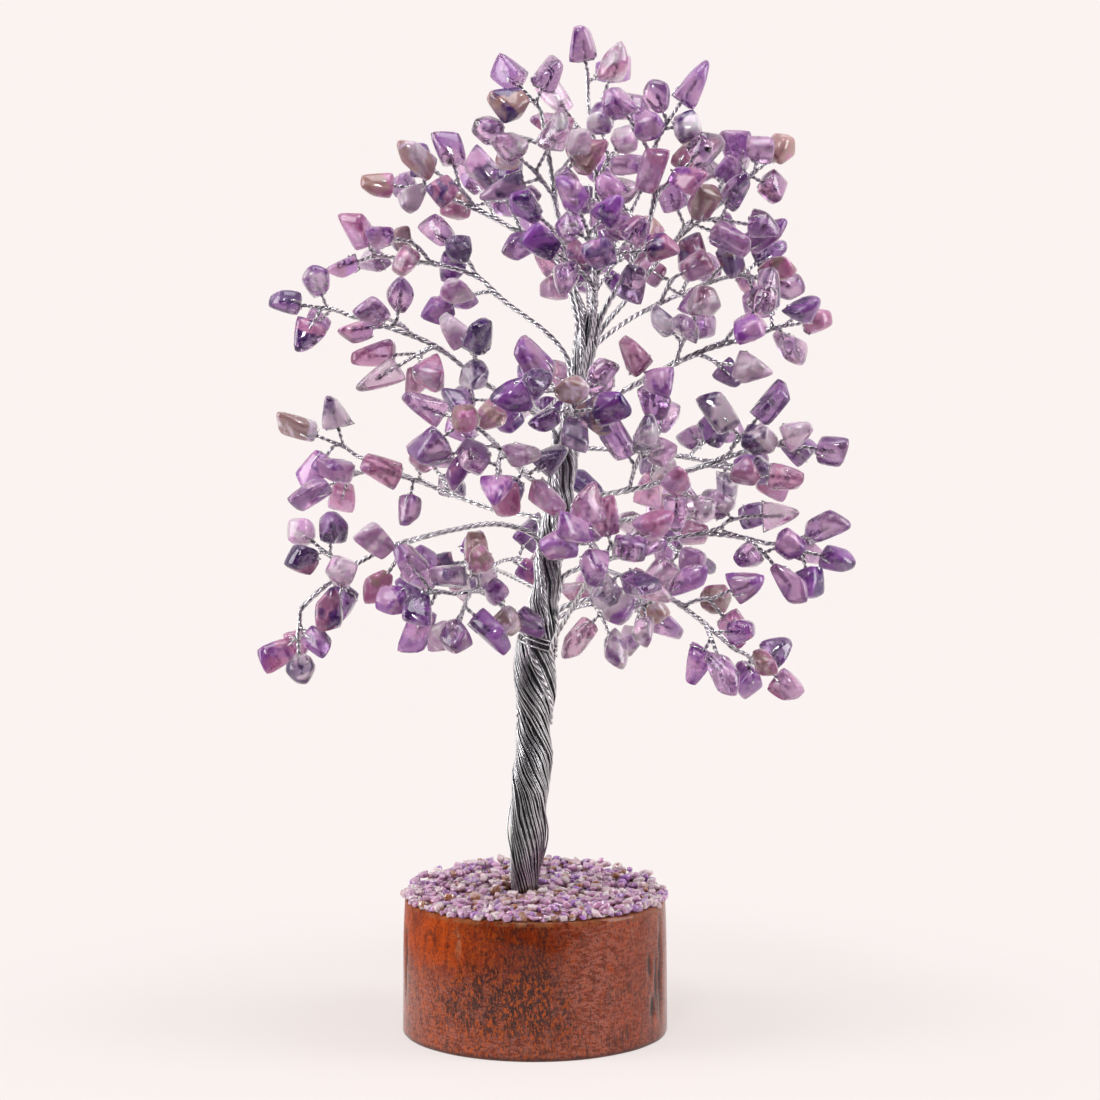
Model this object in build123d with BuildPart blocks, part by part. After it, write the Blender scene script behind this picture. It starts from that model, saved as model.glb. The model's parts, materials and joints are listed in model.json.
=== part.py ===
from build123d import *
import math
import os
import random

import numpy as np

# Gemstone tree ornament: drilled tumbled chips held on twisted wire twigs, the twigs wound into
# shoots, the shoots into limbs and the limbs into one rope-like trunk glued into a log slice.
# Origin at the centre of the log's underside, +Z up, -Y the side the tree is looked at from.

# Log slice
BASE_DIAMETER = 70.0
BASE_TOP_DIAMETER = 69.0
BASE_HEIGHT = 35.0
BASE_EDGE_CHAMFER = 1.2
BASE_BELLY_SHARE = 0.45
SOCKET_DEPTH = 22.0
SOCKET_GLUE = 1.0

# Glue bed and gravel on top of the log
BED_THICKNESS = 0.8
BED_MARGIN = 1.6
GRAVEL_COUNT = 112
GRAVEL_SIZE = 4.2
GRAVEL_LENGTH_SHARE = 0.8
GRAVEL_WIDTH_SHARE = 0.6
GRAVEL_SIZE_SHARES = (0.82, 1.0)
GRAVEL_LID_SHARES = (0.15, 0.35)
GRAVEL_LID_TILT_SHARE = 0.3
GRAVEL_HEIGHT = 2.2
GRAVEL_OVERHANG = 0.6
GRAVEL_TRUNK_GAP = 1.0

# Tree as a whole
TREE_HEIGHT = 226.0
CROWN_REACH = 80.0

# Wire
WIRE_DIAMETER = 0.4
WIRES_PER_STONE = 2
PACKING_SHARE = 0.85
LIMB_TIGHT_SHARE = 0.8
TWIST_PITCH = 80.0
TWIG_WIDTH = 0.8
STRAND_GAP = 0.12
SPLICE_GAP = 0.08
ROOT_GAP = 0.35
TRUNK_JOINT_GAP = 0.2

# Stones
CHIP_LENGTH = 9.6
CHIP_WIDTH = 7.7
CHIP_THICKNESS = 5.3
DRILL_WIDTH = 1.0
DRILL_DEPTH_SHARE = 0.6
TWIG_END_GAP = 0.3
TWIG_MIN = 2.0
TWIG_MAX = 4.0
TIP_SETBACK = 6.0
SHOOT_LEAST = 8.0
TWIG_LEAN_DEGREES = (48, 68)
TWIG_SPREAD_SHARES = (0.95, 0.4)
BOW_SHARE = 0.1
OUTER_STONES_SHARE = 0.6
OUTER_START_SHARE = 0.42
CHIP_SPREAD_SHARES = (0.92, 1.08)
GRIND_TILT_SHARES = (-0.22, 0.22)
GRIND_RISE_SHARES = (0.05, 0.4)
STONE_CLEARANCE = 0.5
TWIG_CLEARANCE = 0.4
LIMB_CLEARANCE = 3.2

# Counts and seeds
STRAND_SIDES = 5
LIMB_SIDES = 5
SHOOT_SIDES = 4
SEED = 11
TIP_SWING = math.radians(40)
END_SWING_LIMIT = math.radians(60)
BRANCH_ANGLE_LEAST = math.radians(20)
GOLDEN_ANGLE = math.radians(137.508)
TURN_SPREAD = math.radians(17)
SETTLING_SHARE = 0.6
TINY_SHARE = 1e-9
SETTLING_ROUNDS = 14
SETTLING_STEPS = 24
LEAST_APART_SHARE = 0.5
RUNS_PER_TURN = 8

# The trunk's lean: height share, sideways share
TRUNK_SHARES = ((0.0, -0.035), (0.19, 0.0), (0.27, 0.0), (0.41, 0.06), (0.53, 0.11), (0.675, 0.19))
# Lengths of the trunk rope: from height share, to height share, number of strands round the core,
# and the share of the loose bundle's thickness that the tighter twist of the upper lengths leaves
ROPE_SHARES = ((0.0, 0.285, 12, 1.0), (0.285, 0.50, 10, 0.7), (0.50, 0.675, 8, 0.58))

# Outlines of the chips, drilled end first: sideways share of the width, share of the length
CHIP_OUTLINE_SHARES = {
    "drop": ((-0.2, 0.0), (0.2, 0.0), (0.5, 0.6), (0.08, 1.0), (-0.46, 0.7)),
    "slab": ((-0.32, 0.0), (0.36, 0.0), (0.5, 0.8), (-0.5, 1.0)),
    "kite": ((-0.22, 0.0), (0.2, 0.0), (0.5, 0.42), (0.05, 1.0), (-0.5, 0.5)),
    "wedge": ((-0.24, 0.0), (0.5, 0.1), (0.4, 1.0), (-0.5, 0.75)),
    "block": ((-0.4, 0.0), (0.34, 0.0), (0.5, 0.9), (-0.42, 1.0)),
    "tooth": ((-0.3, 0.0), (0.3, 0.0), (0.42, 0.55), (-0.1, 1.0)),
}
# Proportions of the three chips cut to each outline: length, width and thickness shares
CHIP_SIZE_SHARES = ((1.0, 1.0, 1.0), (1.25, 0.94, 0.92), (0.84, 1.06, 1.04))

# The limbs: height share where each leaves the trunk, its route after that and its shoots; a shoot
# is the share of the limb where it leaves, its tip and its number of stones.  Places are shares of
# the crown's reach sideways and in depth and of the tree's height upwards.
LIMB_SHARES = {
    "low_left_front": (
        0.41,
        ((-0.12, -0.07, 0.425), (-0.27, -0.17, 0.416), (-0.45, -0.24, 0.40), (-0.62, -0.29, 0.37),
         (-0.735, -0.30, 0.33)),
        ((1.0, (-0.745, -0.30, 0.285), 4), (0.72, (-0.61, -0.36, 0.35), 3), (0.80, (-0.70, -0.26, 0.405), 3),
         (0.52, (-0.47, -0.34, 0.365), 3)),
    ),
    "low_left_up": (
        0.43,
        ((-0.12, 0.08, 0.435), (-0.245, 0.15, 0.45), (-0.37, 0.20, 0.467), (-0.48, 0.22, 0.483),
         (-0.60, 0.22, 0.50)),
        ((1.0, (-0.70, 0.22, 0.52), 3), (0.80, (-0.72, 0.16, 0.47), 3), (0.58, (-0.46, 0.13, 0.478), 3),
         (0.50, (-0.36, 0.26, 0.50), 2)),
    ),
    "low_left_inner": (
        0.295,
        ((-0.09, -0.12, 0.325), (-0.17, -0.26, 0.352), (-0.25, -0.38, 0.348)),
        ((1.0, (-0.40, -0.44, 0.350), 4), (0.78, (-0.24, -0.52, 0.31), 3), (0.45, (-0.08, -0.34, 0.322), 3),
         (0.70, (-0.18, -0.44, 0.385), 3)),
    ),
    "mid_left_inner": (
        0.46,
        ((-0.03, -0.14, 0.478), (-0.09, -0.28, 0.503), (-0.15, -0.38, 0.524)),
        ((1.0, (-0.26, -0.46, 0.545), 4), (0.75, (-0.12, -0.48, 0.475), 4), (0.55, (0.02, -0.40, 0.465), 3),
         (0.80, (-0.28, -0.30, 0.505), 3)),
    ),
    "mid_left": (
        0.53,
        ((-0.02, -0.03, 0.555), (-0.17, -0.07, 0.584), (-0.30, -0.10, 0.623), (-0.435, -0.12, 0.643),
         (-0.60, -0.12, 0.66)),
        ((1.0, (-0.715, -0.12, 0.67), 4), (0.72, (-0.46, -0.20, 0.655), 3), (0.60, (-0.44, -0.18, 0.605), 4),
         (0.40, (-0.19, -0.20, 0.632), 3)),
    ),
    "upper_left": (
        0.61,
        ((0.05, 0.04, 0.642), (-0.09, 0.09, 0.677), (-0.19, 0.13, 0.712), (-0.32, 0.16, 0.726),
         (-0.45, 0.18, 0.732)),
        ((1.0, (-0.57, 0.18, 0.735), 3), (0.85, (-0.45, 0.12, 0.765), 3), (0.50, (-0.29, 0.08, 0.680), 3),
         (0.62, (-0.30, 0.18, 0.762), 3)),
    ),
    "top_left": (
        0.655,
        ((0.09, 0.06, 0.725), (-0.04, 0.13, 0.760), (-0.185, 0.18, 0.79), (-0.32, 0.20, 0.81)),
        ((1.0, (-0.48, 0.20, 0.822), 4), (0.80, (-0.34, 0.12, 0.840), 3), (0.55, (-0.12, 0.12, 0.820), 3),
         (0.70, (-0.20, 0.30, 0.825), 3)),
    ),
    "left_leader": (
        0.665,
        ((0.11, -0.06, 0.725), (0.07, -0.09, 0.782), (0.05, -0.10, 0.835), (0.02, -0.10, 0.893)),
        ((1.0, (-0.01, -0.10, 0.905), 3), (0.80, (-0.10, -0.12, 0.870), 2), (0.55, (-0.05, -0.16, 0.845), 3),
         (0.60, (0.12, -0.20, 0.845), 3), (0.30, (0.02, -0.20, 0.775), 2)),
    ),
    "top_leader": (
        0.67,
        ((0.195, 0.05, 0.736), (0.205, 0.07, 0.794), (0.195, 0.07, 0.858), (0.175, 0.06, 0.91)),
        ((1.0, (0.17, 0.05, 0.965), 2), (0.85, (0.25, 0.05, 0.945), 2), (0.75, (0.09, 0.10, 0.91), 2),
         (0.60, (0.28, 0.02, 0.87), 3), (0.40, (0.22, 0.20, 0.835), 3)),
    ),
    "right_leader": (
        0.665,
        ((0.29, -0.06, 0.705), (0.355, -0.11, 0.747), (0.39, -0.14, 0.794), (0.385, -0.14, 0.85)),
        ((1.0, (0.47, -0.14, 0.905), 3), (0.87, (0.29, -0.21, 0.89), 3), (0.70, (0.51, -0.20, 0.838), 3),
         (0.44, (0.27, -0.23, 0.795), 3), (0.35, (0.30, -0.22, 0.755), 2)),
    ),
    "top_right": (
        0.645,
        ((0.33, 0.07, 0.693), (0.44, 0.12, 0.744), (0.55, 0.15, 0.78), (0.67, 0.16, 0.811)),
        ((1.0, (0.755, 0.16, 0.842), 4), (0.85, (0.66, 0.22, 0.850), 3), (0.60, (0.53, 0.06, 0.780), 3),
         (0.75, (0.67, 0.08, 0.775), 3)),
    ),
    "upper_right": (
        0.63,
        ((0.33, 0.14, 0.665), (0.50, 0.26, 0.695), (0.64, 0.30, 0.714)),
        ((1.0, (0.83, 0.28, 0.712), 4), (0.88, (0.73, 0.28, 0.755), 3), (0.70, (0.58, 0.38, 0.735), 2),
         (0.55, (0.47, 0.18, 0.715), 3)),
    ),
    "mid_right": (
        0.555,
        ((0.265, -0.08, 0.57), (0.415, -0.13, 0.598), (0.565, -0.16, 0.625), (0.715, -0.16, 0.635)),
        ((1.0, (0.84, -0.16, 0.652), 4), (0.82, (0.73, -0.22, 0.672), 3), (0.55, (0.52, -0.20, 0.665), 4),
         (0.65, (0.62, -0.22, 0.600), 2), (0.35, (0.38, -0.24, 0.59), 3)),
    ),
    "mid_right_back": (
        0.51,
        ((0.24, 0.12, 0.508), (0.40, 0.22, 0.505), (0.565, 0.28, 0.495)),
        ((1.0, (0.78, 0.28, 0.475), 4), (0.90, (0.62, 0.34, 0.530), 3), (0.60, (0.42, 0.30, 0.535), 2),
         (0.55, (0.43, 0.16, 0.480), 3)),
    ),
    "right": (
        0.445,
        ((0.215, -0.10, 0.455), (0.365, -0.17, 0.465), (0.515, -0.20, 0.487), (0.68, -0.20, 0.506)),
        ((1.0, (0.925, -0.20, 0.512), 3), (0.72, (0.76, -0.24, 0.475), 3), (0.88, (0.72, -0.20, 0.548), 4),
         (0.55, (0.50, -0.28, 0.455), 3), (0.35, (0.36, -0.26, 0.525), 3)),
    ),
    "front_low": (
        0.28,
        ((0.11, -0.16, 0.32), (0.18, -0.34, 0.37), (0.20, -0.46, 0.395)),
        ((1.0, (0.14, -0.60, 0.42), 4), (0.72, (0.31, -0.56, 0.37), 3), (0.86, (0.34, -0.48, 0.425), 4)),
    ),
    "low_right": (
        0.365,
        ((0.22, -0.04, 0.378), (0.40, -0.08, 0.402), (0.59, -0.10, 0.4155), (0.75, -0.11, 0.40)),
        ((1.0, (0.95, -0.12, 0.385), 4), (0.85, (0.80, -0.20, 0.372), 3), (0.75, (0.71, -0.14, 0.438), 3),
         (0.50, (0.50, -0.18, 0.375), 3)),
    ),
    "lowest_right": (
        0.325,
        ((0.23, -0.14, 0.342), (0.38, -0.26, 0.352), (0.52, -0.32, 0.32), (0.63, -0.34, 0.285)),
        ((1.0, (0.745, -0.34, 0.262), 4), (0.80, (0.57, -0.42, 0.285), 3), (0.70, (0.60, -0.30, 0.345), 3),
         (0.45, (0.36, -0.38, 0.315), 3)),
    ),
    "low_right_inner": (
        0.305,
        ((0.15, 0.14, 0.325), (0.29, 0.28, 0.325)),
        ((1.0, (0.42, 0.36, 0.30), 4), (0.60, (0.24, 0.10, 0.30), 3), (0.85, (0.20, 0.40, 0.35), 3)),
    ),
    "front_mid": (
        0.535,
        ((0.12, -0.18, 0.55), (0.09, -0.36, 0.565)),
        ((1.0, (0.02, -0.52, 0.575), 4), (0.85, (0.13, -0.50, 0.535), 3), (0.70, (0.20, -0.38, 0.59), 3)),
    ),
    "front_upper": (
        0.60,
        ((0.20, -0.18, 0.660), (0.19, -0.28, 0.715)),
        ((1.0, (0.15, -0.34, 0.775), 3), (0.75, (0.05, -0.32, 0.735), 3), (0.85, (0.31, -0.34, 0.745), 3)),
    ),
    "back_low_left": (
        0.345,
        ((-0.10, 0.22, 0.36), (-0.20, 0.46, 0.37)),
        ((1.0, (-0.30, 0.66, 0.36), 4), (0.75, (0.0, 0.56, 0.375), 3), (0.85, (-0.42, 0.46, 0.345), 3)),
    ),
    "back_low_right": (
        0.385,
        ((0.18, 0.22, 0.415), (0.34, 0.44, 0.425)),
        ((1.0, (0.46, 0.60, 0.415), 4), (0.80, (0.22, 0.62, 0.45), 3), (0.75, (0.54, 0.34, 0.41), 3)),
    ),
    "back_mid": (
        0.50,
        ((0.05, 0.24, 0.54), (0.0, 0.48, 0.56)),
        ((1.0, (-0.05, 0.68, 0.565), 4), (0.75, (0.20, 0.56, 0.60), 3), (0.70, (-0.25, 0.44, 0.575), 3)),
    ),
    "back_upper": (
        0.60,
        ((0.18, 0.22, 0.66), (0.18, 0.38, 0.70)),
        ((1.0, (0.16, 0.54, 0.72), 3), (0.78, (0.35, 0.45, 0.77), 4), (0.58, (0.02, 0.42, 0.775), 3)),
    ),
}

CROWN_FOOT = BASE_HEIGHT + BED_THICKNESS + GRAVEL_HEIGHT
TWIG_RADIUS = TWIG_WIDTH / math.sqrt(2)
chance = random.Random(SEED)
os.makedirs("parts", exist_ok=True)


def place(shares):
    """Turns crown shares into a point."""
    across, deep, high = shares
    return Vector(across * CROWN_REACH, deep * CROWN_REACH, CROWN_FOOT + high * TREE_HEIGHT)


def bundle_diameter(stones):
    """Thickness of the wires of so many stones, twisted together."""
    return WIRE_DIAMETER * math.sqrt(WIRES_PER_STONE * stones / PACKING_SHARE)


def stones_on(limb):
    return sum(count for _, _, count in LIMB_SHARES[limb][2])


def stones_above(share):
    return sum(stones_on(limb) for limb, (leave, _, _) in LIMB_SHARES.items() if leave >= share)


def trunk_centre(share):
    """Point on the trunk's axis; below the gravel it runs straight down."""
    (low, across), *rest = TRUNK_SHARES
    for high, across_high in rest:
        if share < high:
            across += max(share - low, 0) / (high - low) * (across_high - across)
            return place((across, 0, share))
        low, across = high, across_high
    return place((across, 0, share))


def trunk_radius(share):
    """Outer radius of the rope length that passes a height."""
    for low, high, _, tight_share in ROPE_SHARES:
        if share <= high or high == ROPE_SHARES[-1][1]:
            return bundle_diameter(stones_above(low)) / 2 * tight_share


def length_of(points):
    return sum((end - start).length for start, end in zip(points, points[1:]))


def along(points, share):
    """Point and direction at a share of a polyline's length."""
    left = share * length_of(points)
    for start, end in zip(points, points[1:]):
        length = (end - start).length
        if left <= length or end is points[-1]:
            return start + (end - start) * min(left / length, 1), (end - start).normalized()
        left -= length


def parted(points, share, gap):
    """Cuts a polyline in two halfway along the run that holds a share of its length."""
    spot, direction = along(points, share)
    run = next(i for i, end in enumerate(points[1:]) if (end - spot).dot(direction) >= 0)
    middle = (points[run] + points[run + 1]) / 2
    step = direction * (gap / 2)
    return points[:run + 1] + [middle - step], [middle + step] + points[run + 1:]


def leave_offset(direction, tangent, host_radius, own_radius, gap):
    """How far from a host wire's axis a wire starts so that its end stands clear of the host."""
    cosine = min(abs(direction.dot(tangent)), math.cos(BRANCH_ANGLE_LEAST))
    sine = math.sqrt(1 - cosine * cosine)
    return (host_radius + gap + own_radius * cosine) / sine


def end_offset(direction, tangent, own_radius, gap):
    """How far beyond a host wire's end a wire that goes on from it starts."""
    cosine = max(direction.dot(tangent), math.cos(END_SWING_LIMIT))
    return (gap + own_radius * math.sqrt(max(0.0, 1 - cosine * cosine))) / cosine


def swept(points, radius, sides):
    """A stiff length of wire or bundle, mitred at its bends."""
    with BuildPart() as wire:
        with BuildLine() as route:
            Polyline(*points)
        with BuildSketch(Plane(origin=points[0], z_dir=points[1] - points[0])):
            RegularPolygon(radius, sides)
        sweep(path=route.line, transition=Transition.RIGHT)
    return wire.part


def twig(start, end, side):
    """A twisted pair of wires, straight from its shoot into a stone's drilling."""
    with BuildPart() as pair:
        with BuildSketch(Plane(origin=start, x_dir=side, z_dir=end - start)):
            Rectangle(TWIG_WIDTH, TWIG_WIDTH)
        extrude(amount=(end - start).length)
    return pair.part


def chip(outline, length, width, thickness, slants):
    """A tumbled chip standing on its drilled end, both broad faces ground at a slant."""
    with BuildPart() as stone:
        with BuildSketch(Plane.XZ):
            Polygon(*[(across * width, up * length) for across, up in outline], align=None)
        extrude(amount=thickness, both=True)
        for side, (tilt, rise) in zip((-1, 1), slants):
            ground = Plane(origin=(0, side * thickness / 2, length / 2), z_dir=(tilt, side, rise))
            split(bisect_by=ground, keep=Keep.BOTTOM)
        with BuildSketch(Plane.XY):
            Rectangle(DRILL_WIDTH, DRILL_WIDTH)
        extrude(amount=length * DRILL_DEPTH_SHARE, mode=Mode.SUBTRACT)
    return stone.part


# A drawer of chips to pick from
drawer = []
for outline in CHIP_OUTLINE_SHARES.values():
    for length_share, width_share, thickness_share in CHIP_SIZE_SHARES:
        slants = [(chance.uniform(*GRIND_TILT_SHARES), chance.uniform(*GRIND_RISE_SHARES)) for _ in range(2)]
        length = CHIP_LENGTH * length_share * chance.uniform(*CHIP_SPREAD_SHARES)
        body = chip(outline, length, CHIP_WIDTH * width_share, CHIP_THICKNESS * thickness_share, slants)
        middle = Vector(0, 0, length / 2)
        reach = max((Vector(corner) - middle).length for corner in body.vertices())
        corners = np.array([tuple(Vector(corner)) for corner in body.vertices()])
        faces = np.array([tuple(face.normal_at()) for face in body.faces()])
        drawer.append({"body": body, "length": length, "reach": reach, "corners": corners, "faces": faces})

# Lay out limbs and shoots, and hang the stones where their twigs point
limbs = {}
stones = []
segments = []
for name, (leave, route_shares, shoot_shares) in LIMB_SHARES.items():
    route = [place(shares) for shares in route_shares]
    axis_point = trunk_centre(leave)
    count = stones_on(name)
    radius = bundle_diameter(count) / 2 * LIMB_TIGHT_SHARE
    outwards = route[0] - axis_point
    flat = Vector(outwards.X, outwards.Y, 0).normalized()
    slope = outwards.normalized()
    stand_off = trunk_radius(leave) + ROOT_GAP + radius * abs(slope.Z)
    root = axis_point + flat * stand_off
    line = [root] + route
    slim = bundle_diameter(count * OUTER_STONES_SHARE) / 2 * LIMB_TIGHT_SHARE
    lengths = parted(line, OUTER_START_SHARE, SPLICE_GAP)
    outer_from = length_of(lengths[0]) / length_of(line)
    limb = {"root": root, "flat": flat, "shoots": [], "twigs": []}
    limb["lengths"] = list(zip(lengths, (radius, slim)))
    limbs[name] = limb
    for station, tip_shares, number in shoot_shares:
        foot, tangent = along(line, station)
        tip = place(tip_shares)
        span = (tip - foot).length
        tip = foot + (tip - foot) * (max(span - TIP_SETBACK, min(span, SHOOT_LEAST)) / span)
        shoot_radius = max(bundle_diameter(number) / 2, TWIG_RADIUS)
        middle = (foot + tip) / 2 + Vector(0, 0, BOW_SHARE * (tip - foot).length)
        towards = (middle - foot).normalized()
        if station == 1.0:
            start = foot + towards * end_offset(towards, tangent, shoot_radius, SPLICE_GAP)
        else:
            host_radius = radius if station < outer_from else slim
            start = foot + towards * leave_offset(towards, tangent, host_radius, shoot_radius, SPLICE_GAP)
        shoot = [start, middle, tip]
        limb["shoots"].append((shoot, shoot_radius))
        turn = chance.uniform(0, 2 * math.pi)
        for order in range(number):
            pick = chance.choice(drawer)
            if order == 0:
                anchor, tangent = along(shoot, 1.0)
                towards = tangent
            else:
                first, last = TWIG_SPREAD_SHARES
                anchor, tangent = along(shoot, first + (last - first) * (order - 0.5) / (number - 1))
                side = tangent.cross(Vector(0, 0, 1)).normalized()
                turn += GOLDEN_ANGLE + chance.uniform(-TURN_SPREAD, TURN_SPREAD)
                around = side * math.cos(turn) + tangent.cross(side) * math.sin(turn)
                lean = math.radians(chance.uniform(*TWIG_LEAN_DEGREES))
                towards = tangent * math.cos(lean) + around * math.sin(lean)
            out = chance.uniform(TWIG_MIN, TWIG_MAX) + pick["length"] / 2
            stones.append({
                "limb": name, "shoot": len(segments), "tip": order == 0, "anchor": anchor,
                "tangent": tangent, "radius": shoot_radius, "centre": anchor + towards * out,
                "roll": chance.uniform(0, 2 * math.pi), **pick,
            })
        segments.append((name, start, middle, shoot_radius))
        segments.append((name, middle, tip, shoot_radius))
    for start, end in zip(line, line[1:]):
        segments.append((name, start, end, radius))
for start_share, end_share in zip(TRUNK_SHARES, TRUNK_SHARES[1:]):
    start, end = trunk_centre(start_share[0]), trunk_centre(end_share[0])
    segments.append(("trunk", start, end, trunk_radius(start_share[0])))

def seat_of(stone, middle):
    """Where a stone sits when its middle is at a point: origin at its foot, Z away from its twig."""
    towards = (Vector(*middle) - stone["anchor"]).normalized()
    level = towards.cross(Vector(1, 0, 0)).normalized()
    side = level * math.cos(stone["roll"]) + towards.cross(level) * math.sin(stone["roll"])
    return Plane(origin=Vector(*middle) - towards * (stone["length"] / 2), x_dir=side, z_dir=towards)


def apart_by(points, ways, other_points, other_ways, other_radius):
    """How far two convex shapes stand apart along the best of their face directions."""
    joining = other_points.mean(axis=0) - points.mean(axis=0)
    ways = np.vstack([ways, other_ways, [joining / np.linalg.norm(joining)]])
    first, second = points @ ways.T, other_points @ ways.T
    gaps = np.maximum(second.min(axis=0) - first.max(axis=0), first.min(axis=0) - second.max(axis=0))
    return gaps.max() - other_radius


# Let the stones push each other and the wires aside until every one hangs free
order = list(limbs) + ["trunk"]
owner = np.array([order.index(stone["limb"]) for stone in stones])
centre = np.array([tuple(stone["centre"]) for stone in stones])
anchor = np.array([tuple(stone["anchor"]) for stone in stones])
tangent = np.array([tuple(stone["tangent"]) for stone in stones])
half = np.array([stone["length"] / 2 for stone in stones])
reach = np.array([stone["reach"] for stone in stones])
own_shoot = np.array([stone["shoot"] for stone in stones])
wire_owner = np.array([order.index(name) for name, *_ in segments])
wire_start = np.array([tuple(start) for _, start, _, _ in segments])
wire_end = np.array([tuple(end) for _, _, end, _ in segments])
wire_radius = np.array([radius for *_, radius in segments])
all_owner = np.concatenate([wire_owner, owner])
all_radius = np.concatenate([wire_radius, np.full(len(stones), TWIG_RADIUS)])
stone_gap = np.where(owner[:, None] == owner[None, :], STONE_CLEARANCE, LIMB_CLEARANCE)
wire_gap = np.where(owner[:, None] == all_owner[None, :], STONE_CLEARANCE, LIMB_CLEARANCE)
stone_far = reach[:, None] + reach[None, :] + stone_gap
wire_far = reach[:, None] + all_radius[None, :] + wire_gap
apart = LEAST_APART_SHARE * stone_far
wire_apart = LEAST_APART_SHARE * wire_far
numbers = np.arange(len(segments) + len(stones))
at_tip = np.array([stone["tip"] for stone in stones])
own_wire = at_tip[:, None] & (numbers[None, :] == own_shoot[:, None] + 1)
own_wire |= numbers[None, :] == len(segments) + np.arange(len(stones))[:, None]
own_stem = own_wire | (numbers[None, :] == own_shoot[:, None]) | (numbers[None, :] == own_shoot[:, None] + 1)
stem_apart = np.tile(all_radius + TWIG_RADIUS + TWIG_CLEARANCE, (len(stones), 1))


def between_stones():
    """Vectors and distances between the stones' middles."""
    between = centre[:, None] - centre[None, :]
    return between, np.linalg.norm(between, axis=2) + np.eye(len(stones)) * stone_far.max()


def from_wires(points):
    """Vectors and distances from every wire to each of the points, and the wires' ends."""
    starts, ends = np.concatenate([wire_start, anchor]), np.concatenate([wire_end, centre])
    spans = ends - starts
    reached = ((points[:, None] - starts[None, :]) * spans[None, :]).sum(axis=2) / (spans ** 2).sum(axis=1)
    nearest = starts[None, :] + np.clip(reached, 0, 1)[..., None] * spans[None, :]
    between = points[:, None] - nearest
    return between, np.linalg.norm(between, axis=2), starts, ends


def pushed_by_wires(points, distances, own):
    """How far each point has to move to stand clear of the wires."""
    between, distance, _, _ = from_wires(points)
    overlap = np.where(own, 0, np.clip(distances - distance, 0, None))
    return (between / np.maximum(distance, TWIG_RADIUS)[..., None] * overlap[..., None]).sum(axis=1)


for _ in range(SETTLING_ROUNDS):
    shapes = []
    for stone, middle in zip(stones, centre):
        seat = seat_of(stone, middle)
        turned = np.array([tuple(seat.x_dir), tuple(seat.y_dir), tuple(seat.z_dir)])
        shapes.append((stone["corners"] @ turned + np.array(tuple(seat.origin)), stone["faces"] @ turned))
    _, distance = between_stones()
    for one, two in np.argwhere(np.triu(distance < stone_far, 1)):
        gap = apart_by(*shapes[one], *shapes[two], 0)
        needed = distance[one, two] + stone_gap[one, two] - gap
        apart[one, two] = apart[two, one] = max(needed, LEAST_APART_SHARE * stone_far[one, two])
    _, distance, starts, ends = from_wires(centre)
    for one, two in np.argwhere((distance < wire_far) & ~own_wire):
        wire = np.array([starts[two], ends[two]])
        gap = apart_by(*shapes[one], wire, np.zeros((0, 3)), all_radius[two])
        needed = distance[one, two] + wire_gap[one, two] - gap
        wire_apart[one, two] = max(needed, LEAST_APART_SHARE * wire_far[one, two])
    for _ in range(SETTLING_STEPS):
        between, distance = between_stones()
        overlap = np.clip(apart - distance, 0, None)
        push = 0.5 * (between / distance[..., None] * overlap[..., None]).sum(axis=1)
        push += 0.5 * pushed_by_wires(centre, wire_apart, own_wire)
        pull = centre - anchor
        stem_share = 0.5 - 0.5 * half / np.linalg.norm(pull, axis=1)
        push += pushed_by_wires(anchor + pull * stem_share[:, None], stem_apart, own_stem)
        centre += SETTLING_SHARE * push
        pull = centre - anchor
        length = np.linalg.norm(pull, axis=1)
        ahead = (pull * tangent).sum(axis=1) / length
        sideways = pull - tangent * (ahead * length)[:, None]
        sideways /= np.linalg.norm(sideways, axis=1)[:, None] + TINY_SHARE
        turned = tangent * math.cos(TIP_SWING) + sideways * math.sin(TIP_SWING)
        pull = np.where((at_tip & (ahead < math.cos(TIP_SWING)))[:, None], turned * length[:, None], pull)
        wanted = np.clip(length, half + TWIG_MIN, half + 2 * TWIG_MAX)
        centre = anchor + pull * (wanted / length)[:, None]

hanging = {name: [] for name in limbs}
for stone, middle in zip(stones, centre):
    seat = seat_of(stone, middle)
    towards, tangent = seat.z_dir, stone["tangent"]
    if stone["tip"]:
        start = stone["anchor"] + towards * end_offset(towards, tangent, TWIG_RADIUS, SPLICE_GAP)
    else:
        stand_off = leave_offset(towards, tangent, stone["radius"], TWIG_RADIUS, SPLICE_GAP)
        start = stone["anchor"] + towards * stand_off
    end = seat.origin + towards * (stone["length"] * DRILL_DEPTH_SHARE - TWIG_END_GAP)
    limbs[stone["limb"]]["twigs"].append((start, end, seat.x_dir))
    hanging[stone["limb"]].append(seat.location * stone["body"])

# Log slice with its blind socket for the trunk's foot
foot_radius = trunk_radius(0)
foot_centre = trunk_centre(0)
socket_floor = BASE_HEIGHT - SOCKET_DEPTH
with BuildPart() as wood_base:
    with BuildSketch(Plane.XZ):
        with BuildLine():
            Polyline(
                (0, 0), (BASE_DIAMETER / 2, 0), (BASE_DIAMETER / 2, BASE_HEIGHT * BASE_BELLY_SHARE),
                (BASE_TOP_DIAMETER / 2, BASE_HEIGHT), (0, BASE_HEIGHT), close=True,
            )
        make_face()
    revolve(axis=Axis.Z)
    rims = wood_base.edges().filter_by(GeomType.CIRCLE)
    chamfer([rims.sort_by(Axis.Z)[0], rims.sort_by(Axis.Z)[-1]], length=BASE_EDGE_CHAMFER)
    with Locations((foot_centre.X, foot_centre.Y, BASE_HEIGHT)):
        Hole(radius=foot_radius + SOCKET_GLUE, depth=SOCKET_DEPTH)
wood_base.part.label = "wood_base"
export_step(wood_base.part, "parts/wood_base.step")

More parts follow.
